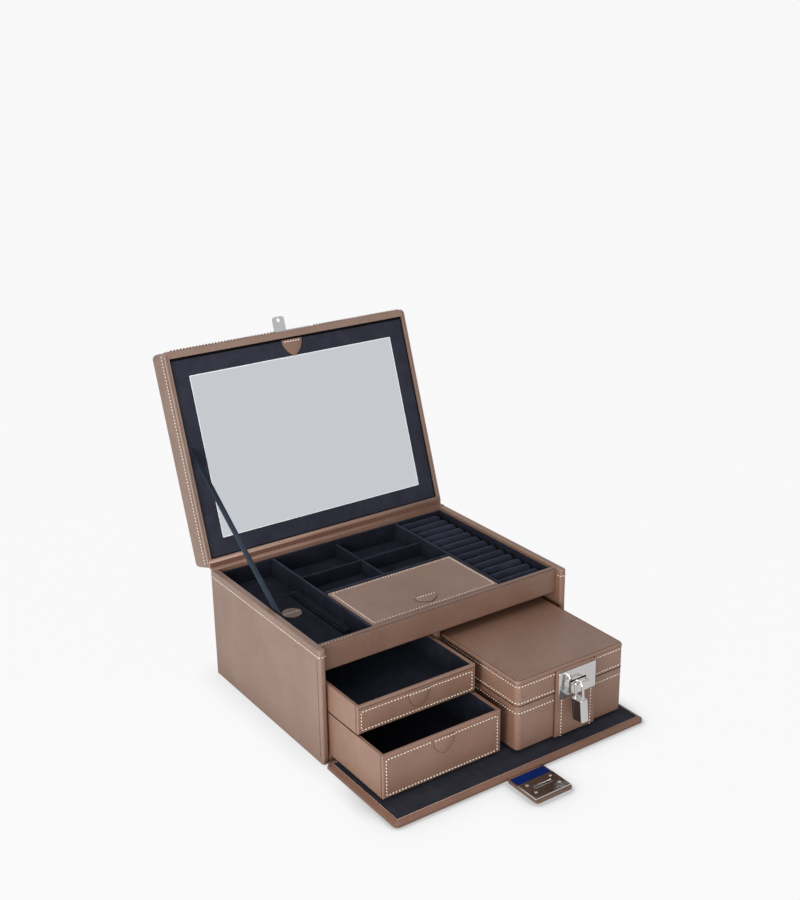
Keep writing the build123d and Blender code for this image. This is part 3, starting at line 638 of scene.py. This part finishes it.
# %% Lid
LID_SIDE, LID_ROW, RIM_ROW = 147, 7.5, 1.1
HASP_FOOT = {"left": -18.0, "right": 27.0}
for side, name, word in BOTH_SIDES:
    stop = HASP_FOOT[name]
    path = [(on_lid(side * LID_SIDE, 4, LID_ROW), word), (on_lid(side * LID_SIDE, 219, LID_ROW), word)]
    path += arc(on_lid(side * 142, 219, LID_ROW), word * 0.005, LID_B * 0.0053)[1:]
    path.append((on_lid(stop, 224.3, LID_ROW), LID_B))
    count = seam("lid_seam_" + name, path, "lid")
    rim = flat_path([on_lid(side * 140, 224.25, RIM_ROW), on_lid(stop, 224.25, RIM_ROW)], LID_B)
    count += seam("lid_rim_seam_" + name, rim, "lid", pitch=3.6, long=2.1, thick=1.5, slant=0.0,
                  material=taupe_thread_painted_shade)
    print("lid,", name, "half:", count, "stitches")


# %% [markdown]
# ## Seams of the drawers and the tray
# A drawer's front is a board covered in leather, with a border sewn all round. Its top row also sews
# down the pull tab, so for the width of the tab the row stands on the tab's leather, 0.8 mm proud of
# the front. The tray's lid has the same border, and a few stitches hold its tab, the mirror's tab and
# the lifting disc.

# %% Drawer fronts
FRONT_LEFT, FRONT_RIGHT, TAB_HALF = -134.0, -11.2, 11.6
DRAWERS = {"upper": {"front": -155.6, "rows": (57.6, 76.1), "board": (54.8, 82.0), "tab_x": -71.8},
           "lower": {"front": -194.0, "rows": (11.6, 47.7), "board": (9.4, 52.1), "tab_x": -72.3}}
for name, drawer in DRAWERS.items():
    front, (low, high), tab = drawer["front"], drawer["rows"], drawer["tab_x"]
    path = border(mm(FRONT_LEFT, front, low), RIGHT, UP, FRONT_RIGHT - FRONT_LEFT, high - low, 1.5, FRONT)
    top = [mm(FRONT_RIGHT - 1.5, front, high)]
    for x, y in ((TAB_HALF, 0), (TAB_HALF, -0.8), (-TAB_HALF, -0.8), (-TAB_HALF, 0)):
        top.append(mm(tab + x, front + y, high))
    path[9:10] = flat_path(top, FRONT)
    print(name, "drawer:", seam(name + "_drawer_seam", path, name + "_drawer"), "stitches")


# %% Tray lid, and the rows that hold the small pieces
TRAY_TOP, DISC_TOP = 114.6, 98.8
tray_border = border(mm(-71.5, -83.5, TRAY_TOP), RIGHT, BACK, 143, 75.5, 1.5, UP)
tray_tab = flat_path([mm(-11.5, -67.6, TRAY_TOP + 1.4), mm(9.5, -67.6, TRAY_TOP + 1.4)], UP)
disc_row = flat_path([mm(-117.6, 7.5, DISC_TOP), mm(-99.2, 7.5, DISC_TOP)], UP)
mirror_row = flat_path([on_lid(-9.8, 212.2, 1.5), on_lid(10.8, 212.2, 1.45)], -LID_T)
print("tray lid:", seam("tray_lid_seam", tray_border, "tray_cover"))
print("tray tab:", seam("tray_tab_seam", tray_tab, "tray_cover", pitch=3.2, thick=1.15))
print("disc:", seam("disc_seam", disc_row, "tray_floor_panel", pitch=3.2, thick=1.1))
print("mirror tab:", seam("mirror_tab_seam", mirror_row, "mirror_panel", pitch=3.3, thick=1.3))


# %% [markdown]
# ## Seams of the travel case
# The travel case is a small box with rounded upright corners, so its rows run all the way round: one
# under its lid's edge, and one above and one below the joint where it opens. The closing strap has a
# row along each edge, which turns under with the strap at its foot.

# %% A path round the travel case, and its rows
TRAVEL_X, TRAVEL_Y, TRAVEL_CORNER = (3.2, 134.2), (-204.5, -28.5), 5.0
STRAP_FACE = -207.3


def round_the_case(z):
    """A path round the travel case at height z, rounded at its upright corners."""
    r = TRAVEL_CORNER
    x0, x1 = TRAVEL_X[0] + r, TRAVEL_X[1] - r
    y0, y1 = TRAVEL_Y[0] + r, TRAVEL_Y[1] - r
    path = []
    for cx, cy, a, b in ((x0, y0, LEFT, FRONT), (x1, y0, FRONT, RIGHT),
                         (x1, y1, RIGHT, BACK), (x0, y1, BACK, LEFT)):
        path += arc(mm(cx, cy, z), a * r / 1000, b * r / 1000)
    return path + [path[0]]


for z, name in ((76.0, "top"), (58.9, "above_joint"), (48.6, "below_joint")):
    print("row", name, "has", seam("travel_seam_" + name, round_the_case(z), "travel_case"), "stitches")
for x, name in ((54.4, "left"), (90.8, "right")):
    path = [(mm(x, STRAP_FACE, 48.6), FRONT), (mm(x, STRAP_FACE, 10.6), FRONT)]
    path += arc(mm(x, STRAP_FACE + 1.4, 10.4), FRONT * 0.0014, DOWN * 0.0014)[1:]
    print("strap,", name, "edge:", seam("travel_strap_seam_" + name, path, "travel_case"), "stitches")


# %% [markdown]
# ## Folds and creases
# Before it is glued down, leather is folded over an edge, and a hot tool presses a crease beside the
# fold. In the photograph it is a hair-thin line. Cutting every one into the CAD would add many faces,
# so each line is a thin bead, half sunk in the surface: leather for a fold; for a crease, a dark brown
# that is partly the tool's burn and partly painted shade; and black, painted shadow, for a gap. The
# darker creases along the case, the lid, the rail and the travel case's top are painted shade.

# %% A thin bead along a path
BEAD_AROUND = 6


def bead(name, path, body, radius, material):
    """A thin tube along a path of (point, outward direction), riding on a body."""
    points = []
    for i, (spot, outward) in enumerate(path):
        a, b = path[max(i - 1, 0)][0], path[min(i + 1, len(path) - 1)][0]
        side = outward.cross(b - a).normalized()
        for k in range(BEAD_AROUND):
            turn = k * math.pi / 3
            ring = side * math.cos(turn) + outward * math.sin(turn)
            points.append(spot + ring * (radius / 1000))
    piece = add_mesh(name, points, tube_faces(0, len(path), BEAD_AROUND), material)
    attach(piece, body)
    return piece


def upright(x, y, low, high, outward):
    """A path straight up a face, from one height to another."""
    return flat_path([mm(x, y, low), mm(x, y, high)], outward)


print("faces in a bead between two points:", len(tube_faces(0, 2, BEAD_AROUND)))


# %% Creases of the drawers
DRAWER_SIDES = ((-138.0, LEFT, "left"), (-7.2, RIGHT, "right"))
for name, drawer in DRAWERS.items():
    body = name + "_drawer"
    front, (low, high), seam_z = drawer["front"], drawer["board"], drawer["rows"][1]
    for row_name, z, radius, fold_name, back, fold_radius, material in (
            ("front_crease", seam_z + 2.2, 0.4, "fold", 3.6, 0.45, taupe),
            ("edge_crease", high - 2.2, 0.28, "fold_crease", 2.3, 0.28, crease)):
        row = flat_path([mm(-137.0, front, z), mm(-8.2, front, z)], FRONT)
        bead(f"{name}_{row_name}", row, body, radius, material)
        for x, word, side in DRAWER_SIDES:
            fold_line = upright(x, front + back, low, high, word)
            bead(f"{name}_{fold_name}_{side}", fold_line, body, fold_radius, material)
    print(name, "drawer creased")


# %% Creases of the travel case
TRAVEL_BEADS = ((55.9, 0.5, crease, "joint"), (79.2, 0.5, taupe, "top"), (78.5, 0.22, crease, "top_crease"))
for z, radius, material, name in TRAVEL_BEADS:
    bead("travel_bead_" + name, round_the_case(z), "travel_case", radius, material)
inner = border(mm(5.0, -202.7, 81.45), RIGHT, BACK, 127.4, 172.4, 4.0, UP)
bead("travel_top_crease", inner, "travel_case", 0.3, taupe_fold_painted_shade)
print("travel case creased")


# %% Creases of the case, the rail and the lid
for side, name, word in BOTH_SIDES:
    bead("case_crease_" + name, upright(side * CASE_SIDE, -102.4, 6, 109, word), "case", 0.26, taupe_fold_painted_shade)
    rim = flat_path([on_lid(side * 144.4, 3, 0.5), on_lid(side * 144.4, 221, 0.5)], -LID_T)
    bead("lid_rim_crease_" + name, rim, "lid", 0.28, taupe_fold_painted_shade)
    wall = flat_path([on_lid(side * LID_SIDE, 3, 3.4), on_lid(side * LID_SIDE, 219, 3.4)], word)
    bead("lid_side_crease_" + name, wall, "lid", 0.26, taupe_fold_painted_shade)
rail_top = flat_path([mm(-138.5, -99.0, 118.3), mm(138.5, -99.0, 118.3)], UP)
bead("rail_crease", rail_top, "case", 0.3, taupe_fold_painted_shade)
print("case and lid creased")


# %% The flap's paler fold, the strap's creases, and the bright rim of the clasp's slot
flap_rim = [mm(-141.3, -116, 5.3), mm(-141.3, -220.4, 5.3), mm(141.3, -220.4, 5.3), mm(141.3, -116, 5.3)]
bead("flap_lining_fold", flat_path(flap_rim, UP), "flap", 0.32, taupe_edge)
for x, side in ((47.9, "left"), (96.1, "right")):
    # dark beads beside the strap: painted shadow between the strap and the case
    bead("travel_strap_crease_" + side, upright(x, -204.8, 10, 78.5, FRONT), "travel_case", 0.5, crease)
SLOT_MIDDLE, SLOT_HALF = (-5.5, -252.5), (9.9, 1.6)
slot = [mm(SLOT_MIDDLE[0] + sx * SLOT_HALF[0], SLOT_MIDDLE[1] + sy * SLOT_HALF[1], 5.0)
        for sx, sy in ((-1, -1), (1, -1), (1, 1), (-1, 1), (-1, -1))]
bead("clasp_slot_rim", flat_path(slot, UP), "clasp", 0.28, nickel)
print("flap, strap and clasp edged")


# %% [markdown]
# ## The gap round the mirror
# The mirror's board swings out of the lid, so there is a narrow gap round it, and it is dark in there.
# Nothing in the gap can be seen, so a near-black bead along its bottom does the work of the walls and
# the shadow. The strap reaches the lid through a notch in the board, and the lid behind the notch is
# lined.

# %% Dark beads in the gap, painted shadow on the board's top edge, and the lining of the notch
MIRROR_GAPS = {"top": (-141.0, 216.4, 141.0, 216.4, 1.2), "left": (-141.5, 10.0, -141.5, 216.0, 0.7),
               "right": (141.5, 10.0, 141.5, 216.0, 0.7), "foot": (-141.0, 9.5, 141.0, 9.5, 0.5)}
for name, (xa, ba, xb, bb, radius) in MIRROR_GAPS.items():
    ends = flat_path([on_lid(xa, ba, 2.9), on_lid(xb, bb, 2.9)], -LID_T)
    bead("mirror_gap_" + name, ends, "lid", radius, gap_shadow)


def lid_patch(name, x0, x1, b0, b1, t, material, body):
    """A flat four-sided patch on the lid, between two x and two b places."""
    corners = [on_lid(x, b, t) for x, b in ((x0, b0), (x1, b0), (x1, b1), (x0, b1))]
    patch = add_mesh(name, corners, [(0, 1, 2, 3)], material)
    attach(patch, body)
    return patch


# A near-black strip along the board's top edge is painted shadow.
lid_patch("mirror_board_painted_shadow", -141, 141, 213.6, 216.1, 2.93, gap_shadow, "mirror_panel")
lid_patch("strap_notch_lining", -141.9, -135.6, 109.8, 125.2, 3.3, frame_suede_painted_light, "lid")
print("gaps:", list(MIRROR_GAPS))


# %% [markdown]
# ## Pull tabs
# A pull tab is a small shield cut from thick leather, sewn along its straight edge and left loose
# below, so that a finger gets under it. Its face is slightly bowed and its edge is rounded with a
# burnisher. The packed tabs are plain, as that is enough to collide with. Here each is redrawn from one
# half outline, mirrored, and raised in four rings that draw in towards the middle.

# %% One shield-shaped tab with softened edges
SHIELD = ((0.0, 0.5), (0.15, 0.492), (0.3, 0.468), (0.42, 0.435), (0.54, 0.392), (0.65, 0.338),
          (0.75, 0.275), (0.84, 0.2), (0.91, 0.13), (0.965, 0.06))


def pull_tab(name, origin, across, down, outward, width, depth, thick, body, material):
    """A shield-shaped pull hanging from the middle of its sewn edge, with a painted shadow line round it."""
    half = [Vector((share * width, step * depth)) for step, share in SHIELD]
    outline = half + [Vector((0, depth))] + [Vector((-p.x, p.y)) for p in reversed(half)]
    middle = Vector((0, 0.42 * depth))
    points = []
    for inset, height in ((0.0, -0.1), (0.0, thick * 0.55), (0.25, thick * 0.88), (0.8, thick)):
        for p in outline:
            q = p + (middle - p).normalized() * inset
            points.append(origin + (across * q.x + down * q.y + outward * height) / 1000)
    count = len(outline)
    faces = tube_faces(0, 4, count)
    points.append(origin + (down * middle.y + outward * thick * 1.05) / 1000)
    for k in range(count):
        faces.append((3 * count + k, 3 * count + (k + 1) % count, 4 * count))
    piece = add_mesh(name + "_leather", points, faces, material)
    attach(piece, body)
    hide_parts(name)
    rim = [(origin + (across * p.x + down * p.y + outward * 0.1) / 1000, outward) for p in outline]
    # The dark bead round the tab is painted shadow under its edge.
    bead(name + "_painted_shadow", rim, body, 0.36, crease)
    return len(points)


print("points down one side of the shield:", len(SHIELD))


# %% The four tabs
tab_points = pull_tab("upper_drawer_tab", mm(-71.8, -155.6, 77.4), RIGHT, DOWN, FRONT, 23.2, 16.8, 0.9,
                      "upper_drawer", taupe)
tab_points += pull_tab("lower_drawer_tab", mm(-72.3, -194.0, 48.9), RIGHT, DOWN, FRONT, 23.2, 17.0, 0.9,
                       "lower_drawer", taupe)
tab_points += pull_tab("tray_lid_tab", mm(-1, -66, TRAY_TOP), RIGHT, FRONT, UP, 24.5, 13.0, 1.4,
                       "tray_cover", taupe)
tab_points += pull_tab("mirror_tab", on_lid(0.5, 214.3, 3.0), RIGHT, -LID_B, -LID_T, 24.0, 18.0, 1.5,
                       "mirror_panel", taupe_deep)
print("points in the four tabs:", tab_points)


# %% [markdown]
# ## The hasp's foot
# The staple on the lid's front edge is fixed by a nickel foot that wraps the edge. Only its thin end
# shows above the rim, as a bright line beside the staple, so a plain plate 1 mm thick is all that it
# needs.

# %% A thin plate along the lid's front edge
corners = [on_lid(x, b, t) for x in (-17.0, 26.0) for b in (223.9, 224.9) for t in (1.2, 12.0)]
hasp_foot = add_mesh("hasp_foot_plate", corners, BOX_FACES, nickel, smooth=False)
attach(hasp_foot, "lid")
print("hasp foot:", [round(1000 * v, 1) for v in hasp_foot.dimensions], "mm as a box in the scene")


# %% [markdown]
# ## Ring rolls
# A ring is held upright between two stuffed rolls of suede. A roll is a sewn tube filled with wadding:
# round on top, flat underneath, closed by a rounded nose, with small puckers where the cloth is
# gathered. A simulation could stuff it, but the shape is so regular that a formula is quicker and gives
# every roll the same size. Two noises then swell and pucker each roll a little differently.

# %% One stuffed roll
ROLL_X, ROLL_AXIS_Z, ROLL_HALF, NOSE = (80.3, 133.2), 107.2, 5.5, 5.6
ROLL_RINGS, ROLL_AROUND = 27, 22


def roll_ring(x, y, seed):
    """The points of one roll at one place along it."""
    left = min(ROLL_X[1] - x, NOSE) / NOSE
    nose = min(1.0, math.sqrt(max(0.0, 1 - (1 - left) ** 2)))
    half = ROLL_HALF * nose
    ring = []
    for k in range(ROLL_AROUND):
        a = k / ROLL_AROUND * 2 * math.pi
        cy, cz = math.cos(a), math.sin(a)
        if cz >= 0:
            dy, dz = half * cy, half * cz
        else:
            dy, dz = half * math.copysign(abs(cy) ** 0.45, cy), 9.0 * nose ** 0.5 * cz
        swell = 0.22 * noise.noise(Vector((x * 0.09, (y + dy) * 0.5 + seed * 3, dz * 0.5)))
        pucker = 0.12 * noise.noise(Vector((x * 0.55, seed * 7, a * 1.4)))
        puff = 1 + (swell + pucker) / ROLL_HALF
        ring.append(mm(x, y + dy * puff, ROLL_AXIS_Z + dz * (puff if cz >= 0 else 1)))
    return ring


print("height of a roll:", round(1000 * max(p.z for p in roll_ring(100, 0, 1)), 1), "mm above the table")


# %% Thirteen rolls, stuffed and smoothed, on a covered board
ROLLS, ROLL_PITCH, LAST_ROLL_Y = 13, 14.2, 92.0
points, faces = [], []
for k in range(ROLLS):
    first = len(points)
    for i in range(ROLL_RINGS):
        s = i / (ROLL_RINGS - 1)
        x = ROLL_X[0] + (ROLL_X[1] - ROLL_X[0]) * (1 - (1 - s) ** 1.6)
        points += roll_ring(x, LAST_ROLL_Y - ROLL_PITCH * k, k)
    faces += tube_faces(first, ROLL_RINGS, ROLL_AROUND)
    faces.append(tuple(first + k for k in reversed(range(ROLL_AROUND))))
rolls = add_mesh("ring_rolls", points, faces, navy_roll_painted_light)
rolls.modifiers.new("smooth", "SUBSURF").render_levels = 1
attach(rolls, "case")
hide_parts("ring_pad")

corners = [mm(x, y, z) for x in (79.6, 136.9) for y in (-87.5, 97.9) for z in (95.4, 98.6)]
pad_board = add_mesh("ring_pad_floor", corners, BOX_FACES, navy)
soft_edge = pad_board.modifiers.new("round", "BEVEL")
soft_edge.width = 0.0004
soft_edge.segments = 3
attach(pad_board, "case")
print(ROLLS, "rolls,", len(points), "points")


# %% [markdown]
# ## Earring strip
# Earrings push into slits in a strip of foam covered in suede. The foam has a gently rounded top that
# swells between its ends, and the slits are pressed shut to thin lines, dark with shade. Cutting each slit
# open would be truer, but closed slits read better as short black patches of painted shadow that follow
# the foam's top and its left side.

# %% The foam
FOAM = [(-79.6, 95.4), (-79.6, 99.0), (-80.4, 99.3), (-85.0, 99.4), (-89.6, 99.3), (-90.4, 98.8),
        (-90.4, 95.4)]
stations = [-56, -55.6, -54] + [-50 + 4 * k for k in range(24)] + [44, 45.6, 46]
points, faces = [], []
for i, y in enumerate(stations):
    drop = 0.5 if i in (0, len(stations) - 1) else 0.0
    for x, z in FOAM:
        swell = 0.12 * noise.noise(Vector((x * 0.3, y * 0.12, 4)))
        points.append(mm(x, y, z - (drop - swell if z > 96 else 0)))
width = len(FOAM)
for i in range(len(stations) - 1):
    for k in range(width - 1):
        a = i * width + k
        faces.append((a, a + 1, a + width + 1, a + width))
faces.append(tuple(range(width - 1, -1, -1)))
faces.append(tuple(len(points) - width + k for k in range(width)))
foam = add_mesh("earring_foam", points, faces, navy)
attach(foam, "case")
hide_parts("earring_strip")
print("foam:", len(points), "points")


# %% The slits
SLITS, SLIT_PITCH, SLIT_HALF = 18, 5.4, 1.0
SLIT_PATH = ((-85.6, 99.6, -90.0, 99.5), (-90.0, 99.5, -90.6, 98.9), (-90.6, 98.9, -90.6, 97.0))
points, faces = [], []
for k in range(SLITS):
    near, far = -52.5 + SLIT_PITCH * k - SLIT_HALF, -52.5 + SLIT_PITCH * k + SLIT_HALF
    for x0, z0, x1, z1 in SLIT_PATH:
        first = len(points)
        points += [mm(x0, near, z0), mm(x1, near, z1), mm(x1, far, z1), mm(x0, far, z0)]
        faces.append(tuple(range(first, first + 4)))
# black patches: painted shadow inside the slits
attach(add_mesh("earring_slits", points, faces, gap_shadow), "case")
print(SLITS, "slits")


# %% [markdown] ## Ribbon A flat ribbon stops the lid when it is open. It runs from beside the left wall
# up to the notch in the mirror's board, leans a little in the middle, and turns to lie along the lid at
# its top. It is a sheet between two rails of points with a thickness.

# %% Sheets between two rails
def strip_sheet(name, path, material, thick):
    """A sheet between two rails of points, with its thickness made into mesh."""
    points, faces = [], []
    for a, b in path:
        points += [a, a.lerp(b, 0.5), b]
    for i in range(len(path) - 1):
        for k in range(2):
            a = 3 * i + k
            faces.append((a, a + 1, a + 4, a + 3))
    piece = add_mesh(name, points, faces, material)
    body = piece.modifiers.new("thickness", "SOLIDIFY")
    body.thickness = thick / 1000
    body.offset = 0
    shape = bpy.data.meshes.new_from_object(piece.evaluated_get(bpy.context.evaluated_depsgraph_get()))
    piece.modifiers.clear()
    piece.data = shape
    for face in shape.polygons:
        face.use_smooth = True
    return piece


print("sheet helper ready")


# %% The ribbon from the case to the lid
RIBBON_X, RIBBON_HALF = -136.4, 5
foot = Vector((0, -34.0, 104.0))
top = on_lid(0, 117.5, 2.2) * 1000
path = []
for i in range(41):
    s = i / 40
    late = max(0.0, (s - 0.9) / 0.1)
    across = (Vector((0, -0.561, 0.828)) * RIBBON_HALF).lerp(LID_B * 6.2, late * late)
    aside = Vector((RIBBON_X - 0.25 * math.sin(s * math.pi), 0, 0))
    centre = foot.lerp(top, s) + aside
    path.append(((centre - across) / 1000, (centre + across) / 1000))
for t in (4.0, 6.0, 7.6):
    path.append((on_lid(RIBBON_X, 111.3, t), on_lid(RIBBON_X, 123.7, t)))
strap = strip_sheet("lid_ribbon", path, ribbon, 0.8)
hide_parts("lid_strap")
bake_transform(strap)
print("ribbon:", len(strap.data.vertices), "points")


# %% [markdown]
# ## Hinge leathers
# The box has no metal hinge. A strip of leather is glued along the back wall and up the lid's inner
# edge, and it folds between them. The flap hangs on a thicker strip of the same kind. Each is drawn as
# its profile from the side and stretched across the box.
# Where the lid's strip turns up, a band is sewn down with two rows that lean against each other. The
# band's dark tone and the rows' dark brown thread are painted shade in the groove.

# %% A leather strip drawn from its profile
def hinge_leather(name, profile, half_width, material, thick, replaced):
    """A leather strip with this (y, z) profile, as wide as the box, in place of a CAD piece."""
    path = [(mm(-half_width, y, z), mm(half_width, y, z)) for y, z in profile]
    piece = strip_sheet(name, path, material, thick)
    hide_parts(replaced)
    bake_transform(piece)
    return len(piece.data.vertices)


lid_profile = [(100.9, 118.75), (102.6, 118.85), (104.4, 118.8), (105.3, 118.5), (105.9, 118.1),
               (106.5, 118.2), (107.0, 118.8)]
for b, t in ((0.4, 0.42), (5.0, 0.45), (5.6, 0.3), (8.6, 0.25)):
    p = on_lid(0, b, t) * 1000
    lid_profile.append((p.y, p.z))
print("lid hinge:", hinge_leather("lid_hinge_fold", lid_profile, 145.6, taupe, 0.3,
                                  "lid_hinge_leather"), "points")


# %% The sewn band, and the flap's strip
# the band's dark tone is painted shade in the hinge's groove
lid_patch("hinge_band", -144.8, 144.8, 0.3, 4.9, 0.14, hinge_band_painted_shade, "lid")
for b, name, lean in ((1.6, "low", 1.0), (3.5, "high", -1.0)):
    row = flat_path([on_lid(-143, b, 0.24), on_lid(143, b, 0.24)], -LID_T)
    seam("hinge_seam_" + name, row, "lid", pitch=3.1, long=2.3, thick=0.36, material=brown_thread_painted_shade,
         slant=lean, wide=3.0)
flap_profile = [(-98, 0.5), (-104, 0.5), (-106.8, 0.9), (-108.0, 2.0), (-109.6, 3.6), (-111.2, 4.7),
                (-112.8, 5.1), (-114.4, 5.3), (-116.2, 5.35)]
print("flap hinge:", hinge_leather("flap_hinge_fold", flap_profile, 145.4, taupe_fold_painted_shade, 0.7,
                                   "flap_hinge_leather"), "points")


# %% [markdown]
# ## The mirror's bright edge
# The mirror's edge shows as a narrow line that shines brighter than the glass. That line is a painted
# highlight: a ring of four flat faces, just proud of the glass, in a pale speckled colour.

# %% A thin ring round the glass, its pale colour a painted highlight
glass_edge_highlight, w, skin = new_material("glass_edge_painted_highlight")
speckle = w.noise(w.place(), 900.0)
w.put(skin.inputs["Base Color"], w.mix(speckle, rgb(236, 238, 240), rgb(250, 250, 252)))
skin.inputs["Roughness"].default_value = 0.35
GLASS_HALF, GLASS_B, RING_WIDTH = 123.3, (27.2, 196.4), 0.9
points = []
for inset, t in ((0.0, 3.0), (RING_WIDTH, 3.06)):
    low, high = GLASS_B[0] + inset, GLASS_B[1] - inset
    for x, b in ((-1, low), (1, low), (1, high), (-1, high)):
        points.append(on_lid(x * (GLASS_HALF - inset), b, t))
edge_ring = add_mesh("mirror_edge", points, tube_faces(0, 2, 4), glass_edge_highlight, smooth=False)
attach(edge_ring, "mirror_panel")
print("mirror edge:", len(edge_ring.data.polygons), "faces")


# %% [markdown]
# ## Camera
# The photograph was taken from the left and above with a normal lens. Fitting the corners of the case,
# the lid and the flap gave the camera's place and its three angles. They are turned into three
# directions, ahead, across and up, which are the columns of the camera's matrix.

# %% The camera at the photograph's viewing angle
scene = bpy.context.scene
yaw, dip, tilt = math.radians(-34.3), math.radians(-20.17), math.radians(-0.86)
ahead = Vector((-math.sin(yaw) * math.cos(dip), math.cos(yaw) * math.cos(dip), math.sin(dip)))
level = ahead.cross(UP).normalized()
above = level.cross(ahead)
across = level * math.cos(tilt) + above * math.sin(tilt)
top = above * math.cos(tilt) - level * math.sin(tilt)
lens = bpy.data.cameras.new("camera")
lens.lens = 59.41
lens.sensor_width = 36
lens.sensor_fit = "HORIZONTAL"
lens.clip_start = 0.01
camera = bpy.data.objects.new("camera", lens)
turn = Matrix((across, top, -ahead)).transposed().to_4x4()
camera.matrix_world = Matrix.Translation(mm(-672.67, -1011.97, 693.04)) @ turn
scene.collection.objects.link(camera)
scene.camera = camera
print("camera looks along", [round(v, 3) for v in ahead])


# %% [markdown]
# ## Studio
# The photograph has a nearly white background with no horizon, and a grey-blue reflection in the
# mirror. So the world answers differently to different rays: pale for the camera, grey-blue for
# reflections, and a dim grey that fills the shadows. One large soft light stands on the left, a weaker
# one is low in front, and one is above.

# %% The world
world = bpy.data.worlds.new("studio")
scene.world = world
world.use_nodes = True
w = Wires(world.node_tree)
sky = world.node_tree.nodes["Background"]
rays = w.add("ShaderNodeLightPath").outputs
room = w.mix(rays["Is Glossy Ray"], (0.36, 0.365, 0.375, 1), (0.585, 0.608, 0.642, 1))
w.put(sky.inputs["Color"], w.mix(rays["Is Camera Ray"], room, (0.943, 0.943, 0.943, 1)))
sky.inputs["Strength"].default_value = 1.0
print("world nodes:", len(world.node_tree.nodes))


# %% Three soft lights
def soft_light(name, place, target, size, power):
    """A square studio light pointed at a place, in metres and watts."""
    lamp = bpy.data.lights.new(name, "AREA")
    lamp.size = size
    lamp.energy = power
    piece = bpy.data.objects.new(name, lamp)
    piece.location = place
    piece.rotation_euler = (Vector(target) - Vector(place)).to_track_quat("-Z", "Y").to_euler()
    scene.collection.objects.link(piece)
    return power


watts = soft_light("key_left", (-1.65, -0.75, 0.45), (0, 0, 0.08), 0.9, 22.0)
watts += soft_light("low_front", (-0.85, -1.5, 0.35), (0, -0.1, 0.05), 0.8, 7.0)
watts += soft_light("top", (0.0, -0.3, 1.8), (0, -0.05, 0.05), 1.2, 7.0)
print("light:", watts, "W in all")


# %% [markdown]
# ## Floor
# The floor is white paper, so pale that it melts into the background, with only a faint shadow close to
# the box. More light would wash out the leather. Instead, the camera sees the paper at the background's
# own level, less wherever Ambient Occlusion finds the box near, six times as strongly in front, under
# the flap, as behind it. Every other ray meets plain paper, which bounces light back as paper does.

# %% White paper with a soft contact shadow
PAPER_LEVEL, SHADOW_REACH, DARKEST = 0.951, 0.03, 0.45
paper, w, skin = new_material("paper_floor")
skin.inputs["Roughness"].default_value = 0.9
skin.inputs["Specular IOR Level"].default_value = 0.0
spot = w.place()
fibres = w.noise(spot, 300.0)
w.put(skin.inputs["Base Color"], w.mix(fibres, (0.86, 0.86, 0.86, 1), (0.88, 0.88, 0.88, 1)))
near = w.add("ShaderNodeAmbientOcclusion", {"samples": 8}, Distance=SHADOW_REACH).outputs["AO"]
forward = w.math("MULTIPLY", w.add("ShaderNodeSeparateXYZ", Vector=spot).outputs["Y"], -1.0)
strength = w.math("ADD", 0.3, w.math("MULTIPLY", w.ramp(forward, 0.12, 0.22), 1.5))
shade = w.math("MINIMUM", w.math("MULTIPLY", w.math("SUBTRACT", 1.0, near), strength), DARKEST)
seen = w.add("ShaderNodeEmission", Color=(1, 1, 1, 1),
             Strength=w.math("MULTIPLY", PAPER_LEVEL, w.math("SUBTRACT", 1.0, shade)))
rays = w.add("ShaderNodeLightPath").outputs
choice = w.add("ShaderNodeMixShader")
w.put(choice.inputs[0], w.math("MULTIPLY", rays["Is Camera Ray"], 0.985))
w.put(choice.inputs[1], skin.outputs[0])
w.put(choice.inputs[2], seen.outputs[0])
w.put(paper.node_tree.nodes["Material Output"].inputs["Surface"], choice.outputs[0])
print("paper:", len(paper.node_tree.nodes), "nodes")


# %% A sheet of paper, reaching past the edge of the view
FLOOR_HALF, FLOOR_Z = 15, -0.0002
corners = [(sx * FLOOR_HALF, sy * FLOOR_HALF, FLOOR_Z) for sx, sy in ((-1, -1), (1, -1), (1, 1), (-1, 1))]
floor = add_mesh("floor", corners, [(0, 1, 2, 3)], paper)
scene.view_settings.view_transform = "Standard"
print("floor:", 2 * FLOOR_HALF, "m across")


# %% [markdown]
